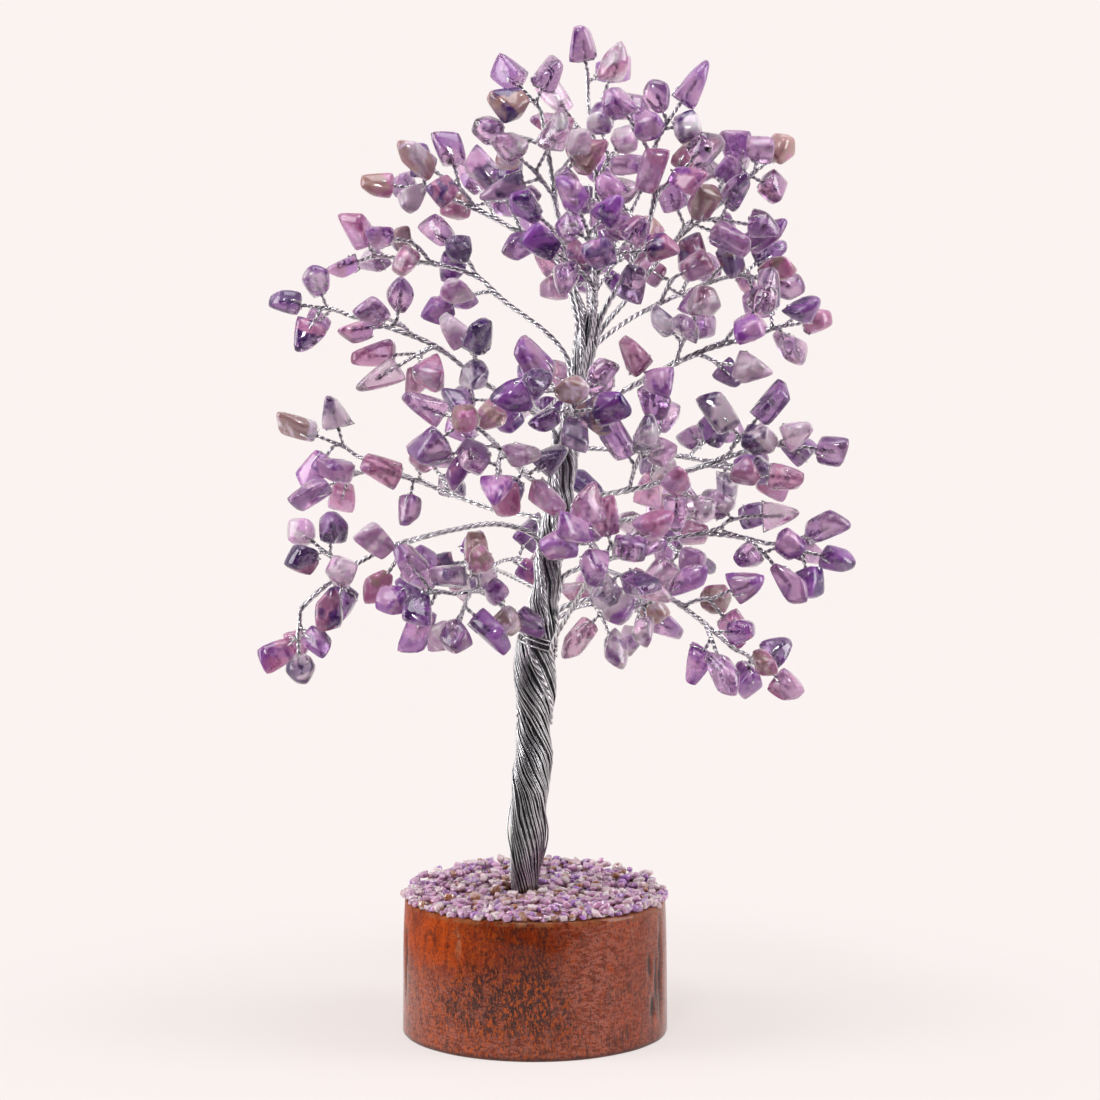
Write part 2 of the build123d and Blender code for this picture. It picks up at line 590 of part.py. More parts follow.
# Glue that fills the socket round the wires
with BuildPart() as glue_plug:
    with BuildSketch(Plane.XY.offset(socket_floor)):
        with Locations((foot_centre.X, foot_centre.Y)):
            Circle(foot_radius + SOCKET_GLUE - STRAND_GAP)
            Circle(foot_radius + STRAND_GAP, mode=Mode.SUBTRACT)
    extrude(amount=SOCKET_DEPTH)
glue_plug.part.label = "glue_plug"
export_step(glue_plug.part, "parts/glue_plug.step")

# Glue bed that the gravel is set in
bed_radius = BASE_TOP_DIAMETER / 2 - BED_MARGIN
with BuildPart() as glue_bed:
    with BuildSketch(Plane.XY.offset(BASE_HEIGHT)):
        Circle(bed_radius)
        with Locations((foot_centre.X, foot_centre.Y)):
            Circle(foot_radius + STRAND_GAP, mode=Mode.SUBTRACT)
    extrude(amount=BED_THICKNESS)
glue_bed.part.label = "glue_bed"
export_step(glue_bed.part, "parts/glue_bed.step")

# Gravel of small chips, laid in a sunflower spread round the trunk
pebbles = []
gravel_radius = BASE_TOP_DIAMETER / 2 + GRAVEL_OVERHANG - GRAVEL_SIZE / 2
for number in range(GRAVEL_COUNT):
    out_share = math.sqrt((number + 0.5) / GRAVEL_COUNT)
    turn = GOLDEN_ANGLE * number
    spot = Vector(math.cos(turn), math.sin(turn), 0) * (gravel_radius * out_share)
    size = GRAVEL_SIZE * chance.uniform(*GRAVEL_SIZE_SHARES)
    keep_off = foot_radius + GRAVEL_TRUNK_GAP + size / 2
    if (spot - Vector(foot_centre.X, foot_centre.Y, 0)).length < keep_off:
        continue
    with BuildPart() as pebble:
        with BuildSketch(Plane(origin=spot + Vector(0, 0, BASE_HEIGHT + BED_THICKNESS))):
            Rectangle(size * GRAVEL_LENGTH_SHARE, size * GRAVEL_WIDTH_SHARE, rotation=chance.uniform(0, 360))
        extrude(amount=GRAVEL_HEIGHT)
        dip = GRAVEL_HEIGHT * chance.uniform(*GRAVEL_LID_SHARES)
        tilts = [chance.uniform(-GRAVEL_LID_TILT_SHARE, GRAVEL_LID_TILT_SHARE) for _ in range(2)]
        lid = Plane(origin=spot + Vector(0, 0, CROWN_FOOT - dip), z_dir=(*tilts, 1))
        split(bisect_by=lid, keep=Keep.BOTTOM)
    pebbles.append(pebble.part)
with BuildPart() as gravel:
    add(pebbles, clean=False)
gravel.part.label = "gravel"
export_step(gravel.part, "parts/gravel.step")

# The trunk: lengths of rope, strands laid round a core, fewer above every group of limbs
for number, (low, high, strands, _) in enumerate(ROPE_SHARES):
    rope_radius = trunk_radius(high)
    lay_angle = math.atan(2 * math.pi * rope_radius / TWIST_PITCH)
    spacing_share = math.sin(math.pi / strands) * math.cos(lay_angle)
    strand_diameter = (2 * rope_radius * spacing_share - 2 * STRAND_GAP) / (1 + spacing_share)
    lay_radius = rope_radius - strand_diameter / 2
    core_radius = lay_radius * math.cos(math.pi / RUNS_PER_TURN) - strand_diameter / 2 - 2 * STRAND_GAP
    bottom = socket_floor + STRAND_GAP if number == 0 else trunk_centre(low).Z
    top = trunk_centre(high).Z - TRUNK_JOINT_GAP
    spare = strand_diameter / 2
    steps = math.ceil((top - bottom + 2 * spare) / TWIST_PITCH * RUNS_PER_TURN)
    heights = [bottom - spare + (top - bottom + 2 * spare) * step / steps for step in range(steps + 1)]
    middles = [trunk_centre((height - CROWN_FOOT) / TREE_HEIGHT) for height in heights]
    middles = [Vector(middle.X, middle.Y, height) for middle, height in zip(middles, heights)]
    lays = []
    for strand in range(strands):
        line = []
        for middle in middles:
            turn = 2 * math.pi * (strand / strands - middle.Z / TWIST_PITCH)
            line.append(middle + Vector(math.cos(turn), math.sin(turn), 0) * lay_radius)
        lays.append(swept(line, strand_diameter / 2, STRAND_SIDES))
    with BuildPart() as trunk:
        add(swept(middles, core_radius, strands), clean=False)
        add(lays, clean=False)
        split(bisect_by=Plane.XY.offset(top), keep=Keep.BOTTOM)
        split(bisect_by=Plane.XY.offset(bottom), keep=Keep.TOP)
    trunk.part.label = f"trunk_{('lower', 'middle', 'upper')[number]}"
    export_step(trunk.part, f"parts/{trunk.part.label}.step")

# Each limb: its two lengths of bundle, its shoots and twigs, and the stones they carry
for name, limb in limbs.items():
    wires = [swept(line, radius, LIMB_SIDES) for line, radius in limb["lengths"]]
    wires += [swept(shoot, radius, SHOOT_SIDES) for shoot, radius in limb["shoots"]]
    wires += [twig(start, end, side) for start, end, side in limb["twigs"]]
    with BuildPart() as limb_wire:
        add(wires, clean=False)
    limb_wire.part.label = f"{name}_wire"
    export_step(limb_wire.part, f"parts/{name}_wire.step")
    with BuildPart() as limb_stones:
        add(hanging[name], clean=False)
    limb_stones.part.label = f"{name}_stones"
    export_step(limb_stones.part, f"parts/{name}_stones.step")
    root = limb["root"]
    print(f"{name} {root.X:.4f} {root.Y:.4f} {root.Z:.4f} {limb['flat'].X:.5f} {limb['flat'].Y:.5f}")
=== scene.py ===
import json
import math
import random

import bmesh
import bpy
import numpy as np
from bpy.props import FloatProperty, FloatVectorProperty, IntProperty, PointerProperty
from mathutils import Matrix, Vector, noise


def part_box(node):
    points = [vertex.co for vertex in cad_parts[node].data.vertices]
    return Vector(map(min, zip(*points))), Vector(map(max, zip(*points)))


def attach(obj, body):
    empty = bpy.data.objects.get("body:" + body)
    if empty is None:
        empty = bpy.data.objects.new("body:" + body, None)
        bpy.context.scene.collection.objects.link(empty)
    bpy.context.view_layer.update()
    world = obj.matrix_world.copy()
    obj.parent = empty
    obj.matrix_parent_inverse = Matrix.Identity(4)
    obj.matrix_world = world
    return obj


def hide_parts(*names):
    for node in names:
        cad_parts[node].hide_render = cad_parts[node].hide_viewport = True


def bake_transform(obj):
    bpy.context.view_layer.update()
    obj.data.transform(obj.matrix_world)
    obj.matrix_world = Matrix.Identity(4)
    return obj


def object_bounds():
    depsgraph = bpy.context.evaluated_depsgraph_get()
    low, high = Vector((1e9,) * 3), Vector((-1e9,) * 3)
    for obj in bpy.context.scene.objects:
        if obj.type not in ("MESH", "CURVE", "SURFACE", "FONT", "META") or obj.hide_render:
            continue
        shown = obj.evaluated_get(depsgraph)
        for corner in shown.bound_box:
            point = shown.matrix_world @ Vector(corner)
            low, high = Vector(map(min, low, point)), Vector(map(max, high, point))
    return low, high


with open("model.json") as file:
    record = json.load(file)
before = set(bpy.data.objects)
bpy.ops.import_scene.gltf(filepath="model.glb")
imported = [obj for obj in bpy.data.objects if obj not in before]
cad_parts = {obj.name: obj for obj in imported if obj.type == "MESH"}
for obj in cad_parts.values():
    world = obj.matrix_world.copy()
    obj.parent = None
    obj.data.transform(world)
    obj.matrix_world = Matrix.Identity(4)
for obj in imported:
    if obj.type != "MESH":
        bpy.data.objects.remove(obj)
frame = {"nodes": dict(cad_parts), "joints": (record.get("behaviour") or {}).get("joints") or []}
CAD_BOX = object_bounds()

bl_info = {
    "name": "Gemstone Wire Tree",
    "version": (1, 0, 0),
    "blender": (4, 5, 0),
    "location": "View3D > Sidebar > Gem Tree",
    "description": "Dresses a wire tree with amethyst chips on a lacquered log slice",
    "category": "Object",
}

MM = 0.001
SEED = 23
MERGE_DISTANCE = 2e-6
TURN_STEPS = 8
TWIG_SIDES = 4
LIMB_SIDES = 5
PHASES = (0.0, 6.0)
ROOTS = {joint["name"].removesuffix("_bend"): Vector(joint["pos_m"]) for joint in frame["joints"]}


def length_property(name, description, default):
    """A length that the sidebar shows in the scene's units."""
    return FloatProperty(name=name, description=description, default=default, min=0.0, precision=5,
                         subtype="DISTANCE", unit="LENGTH")


def colour_property(name, description, default):
    """A colour without alpha."""
    return FloatVectorProperty(name=name, description=description, default=default, min=0.0, max=1.0,
                               size=3, subtype="COLOR")


def place_property(name, description, default):
    """A place in the shared frame."""
    return FloatVectorProperty(name=name, description=description, default=default, size=3,
                               subtype="TRANSLATION", unit="LENGTH")


def count_property(name, description, default, least):
    """A number of like things."""
    return IntProperty(name=name, description=description, default=default, min=least)


def share_property(name, description, default):
    """A share from 0 to 1."""
    return FloatProperty(name=name, description=description, default=default, min=0.0, max=1.0,
                         subtype="FACTOR")


def power_property(name, description, default):
    """The power of a lamp."""
    return FloatProperty(name=name, description=description, default=default, unit="POWER")


class WireSizes(bpy.types.PropertyGroup):
    """Gauges and lays of the silver wire."""

    gauge: length_property("Wire gauge", "Thickness of one wire", 0.58 * MM)
    trunk_gauge: length_property("Trunk gauge", "Thickness of one wire of the trunk", 0.46 * MM)
    limb_pitch: length_property("Limb lay", "Length of one turn in a limb", 7.0 * MM)
    shoot_pitch: length_property("Shoot lay", "Length of one turn in a shoot", 4.8 * MM)
    twig_pitch: length_property("Twig lay", "Length of one turn in a twig's pair", 3.4 * MM)
    limb_strands: count_property("Limb strands", "Strands laid round a limb", 3, 2)
    shoot_strands: count_property("Shoot strands", "Wires seen round a shoot", 3, 2)
    tail: length_property("Tail", "How far a limb's wires run down the trunk", 24 * MM)
    silver: colour_property("Silver", "Colour of the drawn wire", (0.78, 0.78, 0.80))
    tarnish: colour_property("Tarnish", "Colour of its duller stretches", (0.40, 0.40, 0.42))
    # This colour is painted shade: ambient occlusion mixes it into the wire's colour in the grooves between
    # wires.
    groove_shade: colour_property("Painted groove shade", "Painted shade in the grooves between wires", (0.030, 0.030, 0.034))
    groove: length_property("Groove", "How wide a gap counts as a groove between wires", 1.2 * MM)


class StoneColours(bpy.types.PropertyGroup):
    """Colours and roundness of the amethyst chips."""

    deep: colour_property("Deep violet", "Darkest chips", (0.085, 0.017, 0.205))
    violet: colour_property("Violet", "Ordinary chips", (0.335, 0.080, 0.465))
    lilac: colour_property("Lilac", "Pale chips", (0.725, 0.390, 0.695))
    mauve: colour_property("Mauve", "Rosy chips", (0.620, 0.220, 0.430))
    smoke: colour_property("Smoke", "Grey-brown chips", (0.460, 0.270, 0.250))
    clear: colour_property("Clear zone", "Nearly colourless zones in a chip", (0.920, 0.755, 0.870))
    rust: colour_property("Rust", "Brown and orange inclusions", (0.330, 0.115, 0.045))
    rounding: length_property("Rounding", "Width of the tumbled edges", 0.95 * MM)


class GravelSizes(bpy.types.PropertyGroup):
    """The bed of small chips on the log."""

    count: count_property("Chips", "Number of small chips strewn over the bed", 1900, 1)
    size: length_property("Chip size", "Usual length of a small chip", 3.5 * MM)
    lilac: colour_property("Lilac", "Most of the chips", (0.630, 0.335, 0.535))
    violet: colour_property("Violet", "Darker chips", (0.410, 0.165, 0.530))
    cream: colour_property("Cream", "Nearly white chips", (0.860, 0.640, 0.680))
    rust: colour_property("Rust", "Orange-brown chips", (0.430, 0.180, 0.085))
    resin: colour_property("Resin", "Dried glue between the chips", (0.270, 0.085, 0.030))


class LogSizes(bpy.types.PropertyGroup):
    """The lacquered log slice."""

    edge: length_property("Edge", "Rounding of the two rims", 0.6 * MM)
    lump: length_property("Lumps", "Depth of the hollows left by the debarking", 0.55 * MM)
    amber: colour_property("Amber", "Brightest wood under the lacquer", (0.470, 0.062, 0.001))
    russet: colour_property("Russet", "Usual wood under the lacquer", (0.200, 0.024, 0.003))
    # Painted reflection: this pale pinkish brown stands in for the bright floor mirrored in the lacquer.
    painted_sheen: colour_property("Painted sheen", "Wood seen through hazy lacquer", (0.390, 0.112, 0.072))
    ember: colour_property("Ember", "Flecks of lighter wood", (0.480, 0.085, 0.010))
    # Umber is also used for painted shade: the dark insides of the cracks and the painted shadow along the
    # foot of the log.
    umber: colour_property("Umber", "Dark patches of inner bark", (0.022, 0.012, 0.012))
    scuff: colour_property("Scuff", "Pale places where the lacquer is rubbed", (0.420, 0.170, 0.085))
    sawn: colour_property("Sawn wood", "Top and bottom faces", (0.300, 0.110, 0.040))


class StageSettings(bpy.types.PropertyGroup):
    """Camera, lamps and backdrop."""

    eye: place_property("Camera", "Place of the camera", (0.004, -0.600, 0.150))
    aim: place_property("Aim", "Point that the camera looks at", (0.004, 0.0, 0.1264))
    lens: FloatProperty(name="Lens", description="Focal length in millimetres", default=75.0, min=10.0,
                        subtype="DISTANCE_CAMERA")
    paper: colour_property("Paper", "Pale backdrop", (0.965, 0.896, 0.879))
    glow: share_property("Glow", "How much of the floor by the log keeps its own light", 0.67)
    floor_tone: share_property("Floor tone", "How much of the paper's colour the lamps light", 0.75)
    shadow_reach: length_property("Shadow reach", "How far from the log the floor takes shadow", 190 * MM)
    paper_front: length_property("Paper front", "How far the paper comes out in front of the log", 210 * MM)
    room: colour_property("Room", "Light that comes from all round", (0.62, 0.595, 0.59))
    dark: colour_property("Dark side", "Unlit side of the room, behind the camera", (0.018, 0.018, 0.020))
    left: power_property("Left lamp", "Power of the left softbox", 7.5)
    right: power_property("Right lamp", "Power of the right softbox", 6.5)
    top: power_property("Top lamp", "Power of the overhead softbox", 6.0)
    front: power_property("Front lamp", "Power of the small lamp over the camera", 2.6)


class Shade:
    """A socket of a finish. Arithmetic on it adds Math nodes."""

    def __init__(self, finish, socket):
        self.finish = finish
        self.socket = socket

    def math(self, operation, *values):
        """A Math node on this socket and the given values."""
        inputs = dict(enumerate((self, *values)))
        return self.finish.node("ShaderNodeMath", {"operation": operation}, inputs)

    def __add__(self, other):
        return self.math("ADD", other)

    def __sub__(self, other):
        return self.math("SUBTRACT", other)

    def __rsub__(self, other):
        return self.finish.node("ShaderNodeMath", {"operation": "SUBTRACT"}, {0: other, 1: self})

    def __mul__(self, other):
        return self.math("MULTIPLY", other)

    def __abs__(self):
        return self.math("ABSOLUTE")

    __radd__ = __add__
    __rmul__ = __mul__

    def other(self, name):
        """Another output of the same node."""
        return Shade(self.finish, self.socket.node.outputs[name])

    def between(self, low, high):
        """0 below low, 1 above high, smooth in between."""
        return self.finish.node("ShaderNodeMapRange", {"interpolation_type": "SMOOTHSTEP"},
                                {"Value": self, "From Min": low, "From Max": high})


class Finish:
    """One procedural material, its principled shader and the nodes that feed it."""

    def __init__(self, name):
        self.material = bpy.data.materials.new(name)
        self.material.use_nodes = True
        self.tree = self.material.node_tree
        self.shader = self.tree.nodes["Principled BSDF"]
        self.place = self.node("ShaderNodeTexCoord", output="Object")

    def node(self, kind, settings=None, inputs=None, output=0):
        """A node of this kind, with its settings made first and its sockets filled after."""
        made = self.tree.nodes.new(kind)
        for name, value in (settings or {}).items():
            setattr(made, name, value)
        for name, value in (inputs or {}).items():
            self.feed(made.inputs[name], value)
        return Shade(self, made.outputs[output])

    def feed(self, socket, value):
        """Links a shade to a socket, or sets a plain value on it."""
        if isinstance(value, Shade):
            self.tree.links.new(value.socket, socket)
        elif socket.type == "RGBA" and len(value) == 3:
            socket.default_value = (*value, 1.0)
        else:
            socket.default_value = value

    def set(self, **values):
        """Sockets of the principled shader, by name with underscores for spaces."""
        for name, value in values.items():
            self.feed(self.shader.inputs[name.replace("_", " ")], value)

    def mix(self, share, first, second):
        """The first colour going over to the second as share goes from 0 to 1."""
        # A Mix node's two colours come after its sockets for numbers and vectors.
        return self.node("ShaderNodeMix", {"data_type": "RGBA"}, {0: share, 6: first, 7: second}, 2)

    def axes(self):
        """The three object coordinates."""
        parts = self.node("ShaderNodeSeparateXYZ", None, {"Vector": self.place})
        return [parts.other(axis) for axis in ("X", "Y", "Z")]

    def surface(self, share, first, second):
        """Sends a mix of two shaders to the surface."""
        both = self.node("ShaderNodeMixShader", None, {0: share, 1: first, 2: second})
        self.tree.links.new(both.socket, self.tree.nodes["Material Output"].inputs["Surface"])

    def grain(self, scale, detail=2.0, rough=0.5, warp=0.0, place=None):
        """Smooth noise in object space."""
        inputs = {"Vector": place or self.place, "Scale": scale, "Detail": detail, "Roughness": rough,
                  "Distortion": warp}
        return self.node("ShaderNodeTexNoise", None, inputs)

    def stretched(self, side, up):
        """Object coordinates scaled sideways and upwards."""
        return self.node("ShaderNodeMapping", None, {"Vector": self.place, "Scale": (side, side, up)})

    def bump(self, height, distance, strength=1.0):
        """A normal that follows a height, counted in units of the distance."""
        inputs = {"Height": height, "Distance": distance, "Strength": strength}
        return self.node("ShaderNodeBump", None, inputs)

    def attribute(self, name, output):
        """An attribute of the mesh."""
        return self.node("ShaderNodeAttribute", {"attribute_name": name}, None, output)


class Room(Finish):
    """The world's nodes, made in the same way."""

    def __init__(self, name):
        self.world = bpy.data.worlds.new(name)
        self.world.use_nodes = True
        self.tree = self.world.node_tree
        self.shader = self.tree.nodes["Background"]
        self.place = self.node("ShaderNodeTexCoord", output="Generated")


def tinted(group, name, shade):
    """A colour of a group made lighter or darker, with its alpha."""
    return (*[min(1.0, part * shade) for part in getattr(group, name)], 1.0)


def outward(turn):
    """The level unit vector at an angle round the trunk."""
    return np.array((math.cos(turn), math.sin(turn), 0.0))


def facing(place, target):
    """How a camera or lamp at place is turned to point at target."""
    return (Vector(target) - Vector(place)).to_track_quat("-Z", "Y").to_euler()


def piece(name, mesh, material):
    """An object for a finished mesh, smooth, with its material and slot."""
    made = bpy.data.objects.new(name, mesh)
    bpy.context.scene.collection.objects.link(made)
    mesh.materials.append(material)
    mesh.shade_smooth()
    return made


def mesh_from(bm, name):
    """A mesh from a bmesh with its faces turned outwards."""
    bmesh.ops.recalc_face_normals(bm, faces=bm.faces)
    mesh = bpy.data.meshes.new(name)
    bm.to_mesh(mesh)
    bm.free()
    return mesh


def wear_and_foot_shadow(bm, width):
    """Takes off every edge and corner of a bmesh, as tumbling does."""
    bmesh.ops.bevel(bm, geom=bm.edges[:] + bm.verts[:], offset=width, segments=1, profile=0.5,
                    affect="EDGES", clamp_overlap=True, material=-1)


def added(bm, mesh):
    """The corners that a mesh brings into a bmesh."""
    start = len(bm.verts)
    bm.from_mesh(mesh)
    bm.verts.ensure_lookup_table()
    return bm.verts[start:]


def solids_of(node):
    """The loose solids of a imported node, as (corners, neighbours of each corner)."""
    bm = bmesh.new()
    bm.from_mesh(frame["nodes"][node].data)
    bmesh.ops.remove_doubles(bm, verts=bm.verts, dist=MERGE_DISTANCE)
    solids, seen = [], set()
    for first in bm.verts:
        if first in seen:
            continue
        seen.add(first)
        group, waiting = [], [first]
        while waiting:
            corner = waiting.pop()
            group.append(corner)
            for edge in corner.link_edges:
                other = edge.other_vert(corner)
                if other not in seen:
                    seen.add(other)
                    waiting.append(other)
        index = {corner: number for number, corner in enumerate(group)}
        beside = [{index[edge.other_vert(corner)] for edge in corner.link_edges} for corner in group]
        solids.append((np.array([corner.co for corner in group]), beside))
    bm.free()
    return solids


def centreline(corners, beside, sides):
    """The middles of a tube's rings from one end to the other, and its radius."""
    far = int(np.argmax(np.linalg.norm(corners - corners.mean(0), axis=1)))
    near = np.argsort(np.linalg.norm(corners - corners[far], axis=1))[:sides]
    ring, seen, middles = set(map(int, near)), set(), []
    while ring:
        seen |= ring
        middles.append(corners[list(ring)].mean(0))
        ring = {other for corner in ring for other in beside[corner]} - seen
    radius = float(np.linalg.norm(corners[near] - middles[0], axis=1).mean())
    return np.array(middles), radius


def begun_near(line, gap):
    """The line turned round where its last point has a smaller gap than its first."""
    return line if gap(line[0]) <= gap(line[-1]) else line[::-1]


def nearest_on(line, place):
    """The point of a line nearest to place, its distance and the number of the point before it."""
    best = (None, math.inf, 0)
    for number, (start, end) in enumerate(zip(line, line[1:])):
        run = end - start
        share = float(np.clip(np.dot(place - start, run) / max(np.dot(run, run), 1e-12), 0.0, 1.0))
        spot = start + run * share
        gap = float(np.linalg.norm(place - spot))
        if gap < best[1]:
            best = (spot, gap, number)
    return best


def curve_mesh(name, kind, strands, steps=1, **settings):
    """The mesh of a curve with one spline for each strand of (points, one radius or one for each point)."""
    curve = bpy.data.curves.new(name, "CURVE")
    curve.dimensions = "3D"
    for setting, value in settings.items():
        setattr(curve, setting, value)
    for places, radius in strands:
        spline = curve.splines.new(kind)
        spline.points.add(len(places) - 1)
        for point, place, thick in zip(spline.points, places, np.broadcast_to(radius, len(places))):
            point.co, point.radius = (*place, 1.0), thick
        spline.order_u = min(3, len(places))
        spline.use_endpoint_u = True
        spline.resolution_u = steps
    holder = bpy.data.objects.new(name, curve)
    mesh = bpy.data.meshes.new_from_object(holder)
    bpy.data.objects.remove(holder)
    bpy.data.curves.remove(curve)
    return mesh


def smooth_lines(routes, steps):
    """Points read from one NURBS spline for each route."""
    mesh = curve_mesh("routes", "NURBS", [(route, 1.0) for route in routes], steps)
    places = np.array([vertex.co for vertex in mesh.vertices])
    joined = {(min(edge.vertices), max(edge.vertices)) for edge in mesh.edges}
    bpy.data.meshes.remove(mesh)
    return np.split(places, [end for end in range(1, len(places)) if (end - 1, end) not in joined])


def even_steps(line, step):
    """The line's points spaced evenly, and how far along each is."""
    runs = np.linalg.norm(np.diff(line, axis=0), axis=1)
    far = np.concatenate(([0.0], np.cumsum(runs)))
    count = max(3, int(math.ceil(far[-1] / step)) + 1)
    along = np.linspace(0.0, far[-1], count)
    return np.column_stack([np.interp(along, far, line[:, axis]) for axis in range(3)]), along


def sideways(line):
    """Two unit vectors across the line at each point, carried along without twist."""
    ahead = np.gradient(line, axis=0)
    ahead /= np.linalg.norm(ahead, axis=1)[:, None]
    guide = np.eye(3)[int(np.argmin(np.abs(ahead[0])))]
    side = np.cross(ahead[0], guide)
    sides = []
    for tangent in ahead:
        side = side - tangent * np.dot(side, tangent)
        side /= np.linalg.norm(side)
        sides.append(side)
    sides = np.array(sides)
    return sides, np.cross(ahead, sides)


def twisted(line, count, reach, pitch, phase):
    """Strands laid round a line. reach gives the ring's radius at its start and end."""
    points, along = even_steps(line, pitch / TURN_STEPS)
    first, second = sideways(points)
    ring = np.interp(along, (0.0, along[-1]), reach)[:, None]
    strands = []
    for number in range(count):
        angle = (math.tau * (number / count - along / pitch) + phase)[:, None]
        strands.append(points + ring * (np.cos(angle) * first + np.sin(angle) * second))
    return strands


def wire_mesh(name, strands):
    """Round wires along strands of (points, one radius or one for each point), as one mesh."""
    raw = curve_mesh(name, "POLY", strands, bevel_depth=1.0, bevel_resolution=1, use_fill_caps=True)
    bm = bmesh.new()
    bm.from_mesh(raw)
    bpy.data.meshes.remove(raw)
    bmesh.ops.remove_doubles(bm, verts=bm.verts, dist=MERGE_DISTANCE)
    return mesh_from(bm, name)


class Trunk:
    """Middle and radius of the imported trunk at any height, and how far its wires have turned there."""

    band = 5.0 * MM
    inside_percent = 90
    twist_heights = (13.0, 40.0, 62.0, 72.0, 90.0, 104.0, 190.0)
    twist_turns = (0.0, 0.25, 0.50, 0.66, 1.04, 1.26, 2.28)

    def __init__(self):
        nodes = [frame["nodes"][name] for name in ("trunk_lower", "trunk_middle", "trunk_upper")]
        corners = np.array([vertex.co for node in nodes for vertex in node.data.vertices])
        self.low, self.high = corners[:, 2].min(), corners[:, 2].max()
        heights = np.arange(self.low + self.band, self.high, self.band)
        rows = []
        for height in heights:
            near = corners[np.abs(corners[:, 2] - height) < self.band]
            middle = (near[:, :2].min(0) + near[:, :2].max(0)) / 2
            out = np.linalg.norm(near[:, :2] - middle, axis=1)
            rows.append((height, *middle, np.percentile(out, self.inside_percent)))
        self.heights, self.across, self.deep, self.radii = np.array(rows).T

    def at(self, height):
        """Middle of the trunk and its radius at a height."""
        values = [np.interp(height, self.heights, row) for row in (self.across, self.deep, self.radii)]
        return np.array((values[0], values[1], height)), values[2]

    def twist(self, height):
        """Angle that the wires have gone round below a height."""
        return math.tau * np.interp(height / MM, self.twist_heights, self.twist_turns)


class Chip:
    """One packed stone: its middle and the planes of its ground faces."""

    corner_merge = 1.3 * MM
    flat_angle = math.radians(4.0)
    least_depth = 0.4 * MM

    def __init__(self, corners):
        bm = self.hull(corners)
        self.middle = corners.mean(0) * 0.5 + (corners.min(0) + corners.max(0)) * 0.25
        self.normals = np.array([face.normal for face in bm.faces])
        middles = np.array([face.calc_center_median() for face in bm.faces])
        self.depths = np.maximum((self.normals * (middles - self.middle)).sum(1), self.least_depth)
        bm.free()

    @classmethod
    def hull(cls, corners):
        """The stone's ground faces, without its drilling."""
        bm = bmesh.new()
        for corner in corners:
            bm.verts.new(corner)
        bmesh.ops.remove_doubles(bm, verts=bm.verts, dist=cls.corner_merge)
        made = bmesh.ops.convex_hull(bm, input=bm.verts)
        inside = {item for key in ("geom_interior", "geom_unused") for item in made[key]}
        bmesh.ops.delete(bm, geom=[item for item in inside if isinstance(item, bmesh.types.BMVert)],
                         context="VERTS")
        bmesh.ops.dissolve_limit(bm, angle_limit=cls.flat_angle, verts=bm.verts, edges=bm.edges)
        bmesh.ops.recalc_face_normals(bm, faces=bm.faces)
        bm.normal_update()
        return bm

    def reach(self, way):
        """How far the stone reaches from its middle in one direction."""
        return 1.0 / float((self.normals @ way / self.depths).max())


def limb_parts(limb, root):
    """The limb's line, the radii of its lengths, its shoots, its chips and the twig of each by its number."""
    lengths, shoots, twigs = [], [], []
    for corners, beside in solids_of(limb + "_wire"):
        if len(corners) == 2 * TWIG_SIDES:
            twigs.append(centreline(corners, beside, TWIG_SIDES)[0])
        elif len(corners) == 3 * TWIG_SIDES:
            shoots.append(centreline(corners, beside, TWIG_SIDES)[0])
        elif len(corners) % LIMB_SIDES == 0:
            lengths.append(centreline(corners, beside, LIMB_SIDES))
    root = np.array(root)
    lengths = [(begun_near(line, lambda end: np.linalg.norm(end - root)), radius) for line, radius in lengths]
    lengths.sort(key=lambda length: np.linalg.norm(length[0][0] - root))
    spine = np.concatenate([line for line, _ in lengths])
    radii = [radius for _, radius in lengths]
    boughs = [begun_near(line, lambda end: nearest_on(spine, end)[1]) for line in shoots]
    chips = [Chip(corners) for corners, _ in solids_of(limb + "_stones")]
    middles = np.array([chip.middle for chip in chips])
    stems = {}
    for line in twigs:
        line = begun_near(line[::-1], lambda end: np.linalg.norm(middles - end, axis=1).min())[::-1]
        stems[int(np.argmin(np.linalg.norm(middles - line[-1], axis=1)))] = line
    return spine, radii, boughs, chips, stems


def led_in(line, host, lead):
    """The line, begun on its host a little before the place where it leaves."""
    spot, _, number = nearest_on(host, line[0])
    back, left = spot, lead
    while number >= 0 and left > 0.0:
        run = host[number] - back
        size = float(np.linalg.norm(run))
        if size > left:
            back = back + run * (left / size)
            break
        back, left, number = host[number], left - size, number - 1
    start = line[0] * 0.4 + spot * 0.6
    return np.array([back, start, *line])


def silver_finish(name, wire, painted_light_scale, grooves):
    """Bright drawn wire with slightly duller stretches, and painted shade from ambient occlusion in the
    grooves.
    """
    finish = Finish(name)
    dull = finish.grain(420.0, 3.0).between(0.45, 0.75)
    fine = finish.grain(2600.0, 1.0)
    room = finish.node("ShaderNodeAmbientOcclusion", {"samples": 4, "only_local": True},
                       {"Distance": wire.groove}, "AO")
    # Painted shade: where ambient occlusion finds close neighbours, the wire's colour goes over to the dark
    # groove colour.
    groove = 1.0 - room.between(*grooves)
    # The scale given to each finish makes lighter and darker copies of one silver: painted light and painted
    # shade.
    bright, tarnish = ([part * painted_light_scale for part in colour] for colour in (wire.silver, wire.tarnish))
    body = finish.mix(dull, bright, tarnish)
    finish.set(Base_Color=finish.mix(groove * 0.92, body, wire.groove_shade), Metallic=1.0,
               Roughness=0.16 + 0.12 * dull + 0.06 * fine + 0.2 * groove)
    return finish.material


